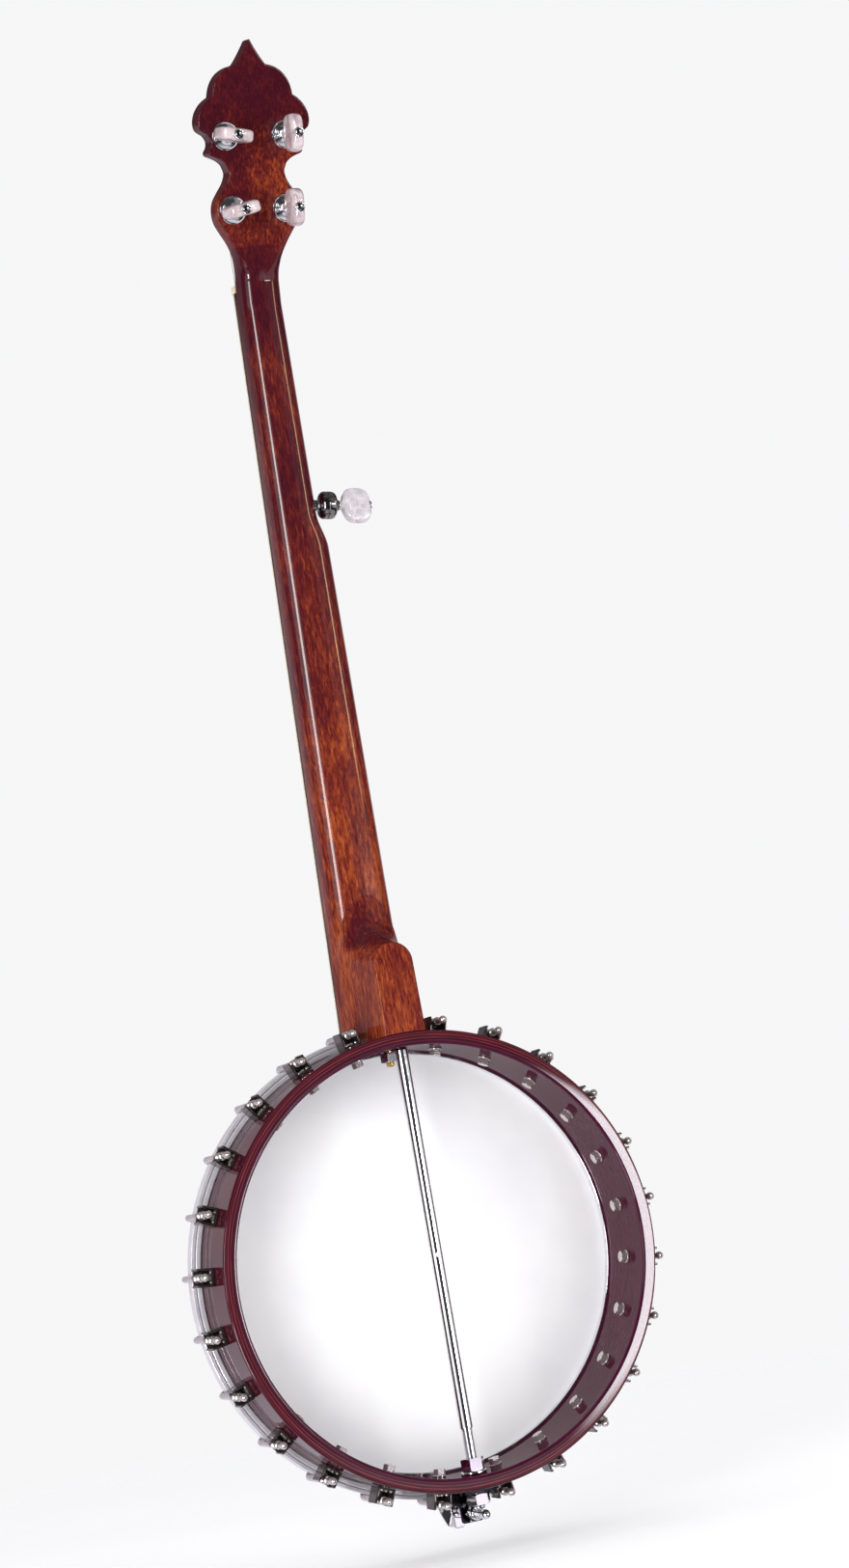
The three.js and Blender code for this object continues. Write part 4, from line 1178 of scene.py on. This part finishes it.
def fingerboard():
    """The board with cream binding along its front edges, frets, and dots at the usual frets."""
    on_face, on_side = position_dots()
    piece("fingerboard", "rosewood", (board_strip(board_edge), EBONY),
          (together(board_strip(treble_binding), board_strip(bass_binding)), CREAM),
          (together(*[fret(z) for z in fret_heights()]), FRET_METAL), (on_face, SHELL), (on_side, EBONY))


STRING_LANES = [                               # x at the bridge and at the nut, tuner, side of its post
    (21.0, 12.8, 2, -1), (10.5, 5.5, 0, -1), (0.0, -2.0, 1, 1), (-10.5, -9.4, 3, 1),
]


def string_nut():
    half = (TREBLE_AT_NUT + BASS_AT_NUT + 0.8) / 2
    middle = (TREBLE_AT_NUT - BASS_AT_NUT) / 2
    top = -1.2
    outline = rounded([
        (0.1, BOARD_THICKNESS), (5.1, BOARD_THICKNESS), (5.1, top + 1.4), (3.0, top), (0.1, top),
    ], 0.7, 4)
    ends = [[(x, y, z) for z, y in outline] for x in (middle - half, middle + half)]
    body = bevelled(loft(ends), 0.35, 2, 60)
    slots = [along_z(cylinder(0.35, -1, 8, 12), top + 0.1, x) for _, x, _, _ in STRING_LANES]
    piece("string_nut", "bone", (on_board(cut(body, together(*slots))), CREAM))


# ---------------------------------------------------------------- tuners

BUTTON_START = 19.7
BUTTON_LENGTH = 22.5
PADDLE_HALF = 12.0
PADDLE_DEEP = 4.2


def paddle(start, length):
    """A pearl paddle along Y: a rounded square from the side, with blunt edges and a short neck."""
    corner = 2.8                               # 2 would make an ellipse, more makes it squarer
    stem = 2.9
    circle = around(56)
    sections = [[(stem * cos(a), y, stem * sin(a)) for a in circle] for y in (start - 2.4, start - 1.0)]
    for angle in spread(0.12, pi - 0.02, 41):
        t = 0.5 - 0.5 * copysign(abs(cos(angle)) ** (2 / corner), cos(angle))
        least = stem if t < 0.5 else 0.0
        half = max(PADDLE_HALF * sin(angle) ** (2 / corner), least)
        blunt = (1 - abs(2 * t - 1) ** 7) ** 0.5
        deep = max(PADDLE_DEEP * blunt * mix(0.86, 1.0, sin(angle)), least, 0.3)
        sections.append([(half * copysign(abs(cos(a)) ** 0.42, cos(a)), start + length * t,
                          deep * copysign(abs(sin(a)) ** 0.42, sin(a))) for a in circle])
    return loft(sections)


def button(shaft_start, start, length, plastic):
    """The paddle on its chrome shaft, with the domed screw and its ring in the paddle's end."""
    end = start + length
    collar = lathe(rounded([(0, shaft_start), (2.5, shaft_start), (2.5, start - 3.2), (3.5, start - 3.0),
                            (3.5, start - 2.2), (0, start - 2.2)], 0.3, 3, closed=False))
    ring = flat_ring(2.5, 3.3, end - 1.2, end + 0.25, 0.35, 3, 36)
    dome = lathe([(0, end - 1.2), (2.5, end - 1.2), (2.5, end + 0.1), (2.2, end + 0.5), (1.7, end + 0.8),
                  (1.0, end + 1.0), (0, end + 1.05)])
    # the domed screw is drawn in darkened chrome: painted shade
    return (paddle(start, length), plastic), (together(collar, ring), CHROME), (dome, SHADED_CHROME)


def tuner(number, x, s, turn):
    """A planetary tuner: ringed housing on the back, bushing and string post on the front."""
    name = f"tuner_{number}"
    place = HEADSTOCK @ Matrix.Translation((x, 0, s))
    back = HEADSTOCK_THICKNESS
    front = -VENEER
    housing = [(4.4, 0.02), (8.6, 0.02), (8.9, 0.3), (8.9, 0.9), (8.6, 1.2)]
    for radius, low, high in ((7.9, 1.3, 2.1), (7.3, 2.3, 3.0), (6.6, 3.2, 3.9), (5.8, 4.1, 4.8)):
        housing += [(radius - 0.5, low), (radius, low + 0.15), (radius, high - 0.2), (radius - 0.35, high)]
    housing += [(4.6, 5.1), (4.2, 5.6), (3.1, 5.6), (3.1, 4.0), (4.4, 3.0)]
    drum = lathe([(r, back + y) for r, y in housing], 64)
    bushing = lathe(rounded([
        (3.3, front - 3.0), (5.4, front - 3.0), (6.2, front - 2.0), (6.2, front - 0.02),
        (3.3, front - 0.02),
    ], 0.4, 3), 48)
    sleeve = lathe(rectangle(3.2, front, 4.3, back))
    piece(name + "_housing", "chrome", (together(drum, bushing, sleeve), CHROME), matrix=place)

    post = lathe([
        (0, -22), (2.1, -22), (2.6, -21.6), (2.9, -20.9), (2.8, -19.6), (2.4, -17.5),
        (2.35, -15.5), (2.5, -13), (2.9, -10), (3.0, -8), (3.0, 4), (0, 4),
    ], 36)
    eye = moved(cylinder(0.6, -4, 4, 16), turn=90, axis="Z", at=(0, -16.6, 0))
    piece(name + "_post", "chrome", (cut(post, eye), CHROME), matrix=place, turns=True)

    spun = place @ Matrix.Rotation(radians(turn), 4, "Y")
    piece(name + "_button", "pearloid", *button(back + 1.0, BUTTON_START, BUTTON_LENGTH, PEARL),
          matrix=spun, turns=True)


FIFTH_PEG = (
    Matrix.Translation((0, FIFTH_PEG_Y, FIFTH_PEG_Z))
    @ Matrix.Rotation(-FIFTH_PEG_LEAN, 4, "Y")
    @ Matrix.Rotation(pi / 2, 4, "Z")
)


def fifth_tuner():
    """The fifth string's peg, which stands out from the side of the neck."""
    barrel = 15.8
    end = 26.4
    shank = lathe([(0, 6), (3.5, 6), (3.5, 12.9), (1.6, 13.2), (1.6, barrel + 1), (0, barrel + 1)])
    housing = lathe([
        (1.7, barrel), (6.4, barrel), (7.6, barrel + 0.3), (8.5, barrel + 1.1), (8.95, barrel + 2.2),
        (9.0, barrel + 3.6), (8.7, barrel + 4.0), (8.7, barrel + 4.5), (9.0, barrel + 4.9),
        (9.0, end - 3.4), (8.7, end - 2.0), (8.0, end - 0.9), (6.9, end - 0.25), (5.6, end),
        (3.3, end), (3.3, end - 4), (1.7, end - 4),
    ], 64)
    # the fifth peg's housing is drawn in darkened chrome: painted shade
    piece("tuner_5_housing", "chrome", (together(shank, housing), SHADED_CHROME), matrix=FIFTH_PEG)
    post = lathe(rounded([
        (1.9, 13.4), (3.6, 13.4), (2.7, 14.1), (2.7, 14.8), (3.6, 15.5), (1.9, 15.5),
    ], 0.2, 2))
    piece("tuner_5_post", "chrome", (post, CHROME), matrix=FIFTH_PEG, turns=True)
    spun = FIFTH_PEG @ Matrix.Rotation(radians(FIFTH_BUTTON_TURN), 4, "Y")
    # its pearl is painted paler: painted light shining through the button
    white = button(end - 3.7, FIFTH_BUTTON_START, FIFTH_BUTTON_LENGTH, PALER_PEG_PEARL)
    piece("tuner_5_button", "pearloid", *white, matrix=spun, turns=True)


# ---------------------------------------------------------------- rod, lag bolt and tailpiece

def rod_and_nuts():
    """The coordinator rod across the pot with its two nuts, and the brass lag bolt in front of it."""
    start = ROD_THREAD_START
    rod = lathe([
        (0, -152.0), (ROD_THREAD - 1.0, -152.0), (ROD_THREAD - 0.45, -151.2),
        *thread(ROD_THREAD, -151.0, start - 1.0), (ROD_WIRE - 0.3, start - 0.6), (ROD_WIRE, start),
        (ROD_WIRE, RIM_INNER - 1.2), (ROD_WIRE - 0.6, RIM_INNER - 0.4), (2.9, RIM_INNER), (2.9, 158.0),
        (0, 158.0),
    ], 48)
    hole = moved(cylinder(1.7, -8, 8, 24), at=(0, ROD_Y, ROD_HOLE_Z))
    piece("coordinator_rod", "chrome", (cut(along_z(rod, ROD_Y), hole), CHROME))

    inner = -RIM_INNER + 0.3
    washer = flat_ring(3.8, 8.0, inner, inner + 1.5, 0.4, 3, 64)
    inner_nut = together(washer, hex_nut(13, 3.75, inner + 1.5, inner + 9.6))
    piece("rod_inner_nut", "chrome", (along_z(inner_nut, ROD_Y), CHROME))
    piece("rod_outer_nut", "chrome", (along_z(hex_nut(13, 3.75, -149.4, -142.6), ROD_Y), CHROME))

    lag = lathe([(0, 121.6), (1.9, 121.6), (2.3, 122.0), *thread(2.8, 122.2, 124.4, 0.9, 0.35),
                 (2.8, 131), (2.8, 158), (0, 158)])
    lag_nut = hex_nut(10, 2.4, RIM_INNER - 6.6, RIM_INNER - 0.4)
    piece("heel_lag_bolt", "chrome", (along_z(lag_nut, LAG_Y), CHROME), (along_z(lag, LAG_Y), BRASS))


def tailpiece_bracket():
    """A black angle plate: one leg lies on the rim under the outer nut, the other holds the bolt."""
    front = 26.0
    on_rim = prism(rounded(rectangle(-14, front, 14, front + 28), 3.0, 5), 0, 2.0)
    bmesh.ops.subdivide_edges(on_rim, edges=on_rim.edges[:], cuts=6, use_grid_fill=True)
    for v in on_rim.verts:
        x, up, y = v.co
        v.co = (x, y, -sqrt((POT_RADIUS + 0.15 + up) ** 2 - x * x))
    tab = rounded(mirrored_outline([(14, 0.85 - POT_RADIUS), (14, -147), (7, -151), (7, -161)]), 2.0, 4)
    leg = bevelled(prism(tab, front, front + 2.4), 0.4)
    hole = moved(cylinder(2.9, 20, 32, 24), at=(0, 0, TAIL_BOLT_Z))
    piece("tailpiece_bracket", "black_chrome", (on_rim, BLACK_PLATE), (cut(leg, hole), BLACK_PLATE))


def tailpiece():
    """A tapered plate over the hoop with a comb for the strings and a lug round its bolt."""
    face = -11.4
    outline = rounded(mirrored_outline([(17, -112), (17, -124), (7, -158), (3.4, -166)]), 2.5, 5)
    hole = moved(cylinder(2.8, -20, 12, 24), at=(0, 0, TAIL_BOLT_Z))
    plate = cut(bevelled(prism(outline, face, face + 2.0), 0.5), hole)
    raised = rounded(mirrored_outline([(15, -117), (14, -125), (5, -152)]), 3, 5)
    panel = bevelled(prism([(x * 0.72, z) for x, z in raised], face - 0.7, face + 0.4), 0.4)
    comb_outline = rounded(rectangle(face + 0.5, -112.0, face + 3.9, -115.0), 0.6, 3)
    comb = loft([[(x, y, z) for y, z in comb_outline] for x in (-17, 17)])
    at_bridge = spread(21, -21, 5)
    slots = [along_z(cylinder(0.7, -120, -108, 12), face + 3.4, x * AT_COMB) for x in at_bridge]
    lug = bevelled(prism(rounded(rectangle(-3.4, -166, 3.4, -154), 2.0, 5), face + 0.6, face + 13.5), 0.5)
    rim_of_lug = moved(flat_ring(2.9, 4.9, 1.9, 3.6, 0.4, 3, 40), at=(0, 0, TAIL_BOLT_Z))
    piece("tailpiece", "chrome", (plate, CHROME), (panel, CHROME), (cut(comb, together(*slots)), CHROME),
          (together(lug, rim_of_lug), CHROME))


def tailpiece_bolt():
    """The long bolt with a round head, a nut and collar behind the bracket, and a turned end."""
    nut_front = 28.6
    shaft = lathe([
        (0, -14.2), (1.2, -14.2), (3.0, -13.8), (4.0, -13.0), (4.2, -12.2), (4.2, -11.6), (2.5, -11.5),
        (2.5, 14), *thread(2.5, 14.5, 46, 0.9, 0.35), (2.3, 46.6), (2.0, 47.6), (2.0, 48.6),
        (2.4, 49.6), (2.95, 51.0), (3.1, 52.4), (2.9, 53.8), (2.3, 55.0), (1.3, 55.8), (0, 56.0),
    ])
    nut = hex_nut(10, 2.4, nut_front, nut_front + 6)
    collar = lathe(rounded([(2.4, nut_front + 6.2), (4.3, nut_front + 6.2), (4.3, nut_front + 9.0),
                            (3.4, nut_front + 10.4), (2.4, nut_front + 10.4)], 0.5, 3))
    bolt = moved(together(shaft, nut, collar), at=(0, 0, TAIL_BOLT_Z))
    piece("tailpiece_bolt", "chrome", (bolt, CHROME))


# ---------------------------------------------------------------- bridge and strings

def bridge():
    """A three-footed maple bridge, thinner at the top, capped with a dark strip."""
    foot = -0.6
    half_width = 40.0
    cap = 1.3

    def shoulder(x):
        """The height of the wood at x: level in the middle and falling towards both ends."""
        return mix(BRIDGE_TOP + cap, foot - 4, smooth(between(27, half_width, abs(x))) ** 0.8)

    sections = []
    for x in spread(-half_width, half_width, 81):
        top = shoulder(x)
        from_arch = min(abs(abs(x) - 16.0) / 9.5, 1)
        low = max(foot - 8.0 * sqrt(1 - from_arch ** 2), top + 2.2)
        sections.append([(x, low, BRIDGE_Z - 2.0), (x, top, BRIDGE_Z - 1.1),
                         (x, top, BRIDGE_Z + 1.1), (x, low, BRIDGE_Z + 2.0)])
    strip = []
    for x in spread(-28, 28, 29):
        low = shoulder(x)
        strip.append([(x, low + 0.02, BRIDGE_Z - 1.1), (x, low - cap, BRIDGE_Z - 0.8),
                      (x, low - cap, BRIDGE_Z + 0.8), (x, low + 0.02, BRIDGE_Z + 1.1)])
    piece("bridge", "maple", (loft(sections), MAPLE), (loft(strip), EBONY))


def coil(radius, turns, low, high, start):
    """Points of a string wound round its post."""
    count = int(turns * 20)
    return [(radius * cos(start + 2 * pi * turns * i / count), mix(low, high, i / count),
             radius * sin(start + 2 * pi * turns * i / count)) for i in range(count + 1)]


def to_nut(at_bridge, nut_end):
    """A string's path out of the tailpiece's comb, over the bridge and on to the nut."""
    x = at_bridge * AT_COMB
    comb = Vector((x, -10.6, -111.0))
    saddle = Vector((at_bridge, OVER_BRIDGE, BRIDGE_Z))
    return [Vector((x, -9.0, -116.5)), Vector((x, -10.4, -112.6)),
            *[comb.lerp(saddle, t) for t in spread(0, 1, 6)],
            *[saddle.lerp(nut_end, t) for t in spread(0.02, 1, 12)]]


def strings():
    """Four long strings wound on their posts, and the short one that ends at the fifth peg."""
    over_nut = board_face(NUT_Z) - 1.35
    wires = (0.16, 0.18, 0.22, 0.30)
    for i, ((at_bridge, at_nut, index, side), wire) in enumerate(zip(STRING_LANES, wires), start=1):
        x, s, _ = TUNERS[index]
        post = HEADSTOCK @ Matrix.Translation((x, 0, s))
        start = 0 if side > 0 else pi
        wound = [post @ Vector(p) for p in coil(2.4 + wire, turns=2.6, low=-14.6, high=-16.4, start=start)]
        path = to_nut(at_bridge, Vector((at_nut, over_nut, NUT_Z + 2.4)))
        path += [path[-1].lerp(wound[0], t) for t in (0.3, 0.6, 0.9)]
        piece(f"string_{i}", "steel_wire", (tube([*path, *wound], wire, 8), STRING_STEEL))

    peg_z = 467
    at_peg = mix(OVER_BRIDGE, over_nut, between(BRIDGE_Z, NUT_Z, peg_z))
    path = to_nut(-21.0, Vector((-15.2, at_peg, peg_z)))
    path += [Vector((-14.8, board_face(478) - 0.6, 478)), Vector((-14.7, board_face(482) + 2.5, 482)),
             FIFTH_PEG @ Vector((0, 14.45, 0)) + Vector((0, -2.95, -0.4))]
    piece("string_5", "steel_wire", (tube(path, wires[0], 8), STRING_STEEL))


# ---------------------------------------------------------------- stage, light and camera

def floor():
    """A wide pale floor that fades out towards its rim, so that no horizon cuts the picture."""
    bm = bmesh.new()
    bmesh.ops.create_circle(bm, cap_ends=True, segments=128, radius=6.0)
    mesh = bpy.data.meshes.new("floor")
    bm.to_mesh(mesh)
    bm.free()
    obj = bpy.data.objects.new("floor", mesh)
    obj.location = (POT.x, POT.y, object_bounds()[0].z - FLOOR_GAP)
    obj.visible_glossy = False
    bpy.context.scene.collection.objects.link(obj)
    made, tree, shader, place = material("pale_floor")
    distance = node(tree, "ShaderNodeVectorMath", {0: place}, operation="LENGTH").outputs["Value"]
    faint = noise(tree, place, 3.0, 2)
    link(tree, shader, {
        "Base Color": ramp(tree, faint, [(0.3, (0.86, 0.86, 0.87)), (0.7, (0.89, 0.89, 0.90))]),
        "Alpha": remap(tree, distance, 0.3, 1.2, 1.0, 0.0),
    })
    shader.inputs["Roughness"].default_value = 0.75
    shader.inputs["Emission Color"].default_value = (0.92, 0.92, 0.93, 1)
    shader.inputs["Emission Strength"].default_value = 0.22
    mesh.materials.append(made)
    obj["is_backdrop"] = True


def area_light(name, place, size, power):
    """A soft box that lights the surfaces but is not itself mirrored in them."""
    data = bpy.data.lights.new(name, "AREA")
    data.shape = "RECTANGLE"
    data.size, data.size_y = size
    data.energy = power
    obj = bpy.data.objects.new(name, data)
    obj.location = POT + Vector(place)
    middle = POT + Vector((0, 0, 0.3))
    obj.rotation_euler = (middle - obj.location).to_track_quat("-Z", "Y").to_euler()
    obj.visible_glossy = False
    bpy.context.scene.collection.objects.link(obj)


MIRRORED = [                                   # azimuths, elevations, softness, brightness, colour
    ((-125, 110), (-50, 100), 3, 0.05, (1.00, 0.96, 1.04)),
    ((-200, 200), (50, 100), 10, 0.20, (1.00, 1.00, 1.02)),
    ((36, 76), (-35, 14), 2, 1.20, (1.00, 1.00, 1.02)),
    ((-76, -22), (3, 45), 2, 0.28, (1.00, 0.95, 0.95)),
    ((-76, -22), (-30, 3), 2, 1.00, (1.00, 0.98, 1.00)),
    ((-20.5, -12.5), (-5, 4), 1, 0.30, (1.00, 0.95, 1.05)),
    ((44, 54), (-24, -9), 1.5, 40.0, (1.00, 0.90, 1.00)),
    ((44, 54), (-2, 18), 1.5, 13.0, (1.00, 1.00, 1.00)),
    ((-60, -54), (5, 18), 1.5, 8.0, (1.00, 0.80, 0.50)),
    ((-42, -21.3), (-6, 1.2), 0.5, 24.0, (0.97, 0.95, 1.00)),
    ((-24, -12.5), (-8.5, -5), 1.0, 1.3, (0.95, 0.85, 1.00)),
]


def band(tree, value, low, high, soft):
    """1 between low and high, fading to 0 over the softness on each side."""
    edges = []
    for edge, before, after in ((low, 0.0, 1.0), (high, 1.0, 0.0)):
        made = node(tree, "ShaderNodeMapRange", {
            "Value": value, "From Min": edge - soft, "From Max": edge + soft,
            "To Min": before, "To Max": after,
        }, interpolation_type="SMOOTHSTEP")
        edges.append(made.outputs["Result"])
    return math(tree, "MULTIPLY", *edges)


def studio():
    """A white room. Only the polished surfaces see its soft boxes and the dark gaps between them."""
    world = bpy.data.worlds.new("studio")
    bpy.context.scene.world = world
    world.use_nodes = True
    tree = world.node_tree
    x, y, z = split(tree, node(tree, "ShaderNodeTexCoord").outputs["Generated"])
    azimuth = math(tree, "DEGREES", math(tree, "ARCTAN2", x, y))
    elevation = math(tree, "DEGREES", math(tree, "ARCSINE", z))
    mirrored = ramp(tree, remap(tree, elevation, -40, 60, 0.0, 1.0), [
        (0.00, (0.75, 0.75, 0.80)), (0.20, (0.80, 0.78, 0.88)), (0.30, (0.66, 0.62, 0.70)),
        (0.40, (0.56, 0.50, 0.56)), (0.54, (0.56, 0.50, 0.54)), (0.60, (0.12, 0.11, 0.12)),
    ])
    for azimuths, elevations, soft, level, tint in MIRRORED:
        across = band(tree, azimuth, *azimuths, soft)
        up = band(tree, elevation, *elevations, soft)
        mask = math(tree, "MULTIPLY", across, up)
        mirrored = blend_colours(tree, mask, mirrored, [level * c for c in tint])
    rays = node(tree, "ShaderNodeLightPath")
    plain = blend_colours(tree, rays.outputs["Is Glossy Ray"], (0.80, 0.80, 0.815), mirrored)
    seen = blend_colours(tree, rays.outputs["Is Camera Ray"], plain, (0.925, 0.925, 0.935))
    tree.links.new(seen, tree.nodes["Background"].inputs["Color"])
    tree.nodes["Background"].inputs["Strength"].default_value = 1.0
    area_light("key_box", (1.35, 1.35, 0.15), (1.0, 1.4), 30)
    area_light("fill_box", (-1.5, 1.2, 0.4), (0.8, 1.4), 16)


def camera():
    """The photograph's viewpoint: low, from behind, a little round to the treble side."""
    forward = CAMERA_FORWARD.normalized()
    right = forward.cross(CAMERA_UP).normalized()
    up = right.cross(forward)
    data = bpy.data.cameras.new("camera")
    data.lens = CAMERA_LENS
    data.sensor_width = 36
    obj = bpy.data.objects.new("camera", data)
    turned = Matrix((right, up, -forward)).transposed().to_4x4()
    obj.matrix_world = Matrix.Translation(CAMERA_PLACE) @ turned
    bpy.context.scene.collection.objects.link(obj)
    bpy.context.scene.camera = obj


# ---------------------------------------------------------------- the whole scene

camera()
wood_rim()
tone_ring()
head()
tension_hoop()
brackets()
neck()
veneer()
fingerboard()
string_nut()
for number, (x, s, turn) in enumerate(TUNERS, start=1):
    tuner(number, x, s, turn)
fifth_tuner()
rod_and_nuts()
tailpiece_bracket()
tailpiece()
tailpiece_bolt()
bridge()
strings()
floor()
studio()
bpy.context.scene.view_settings.view_transform = "Standard"
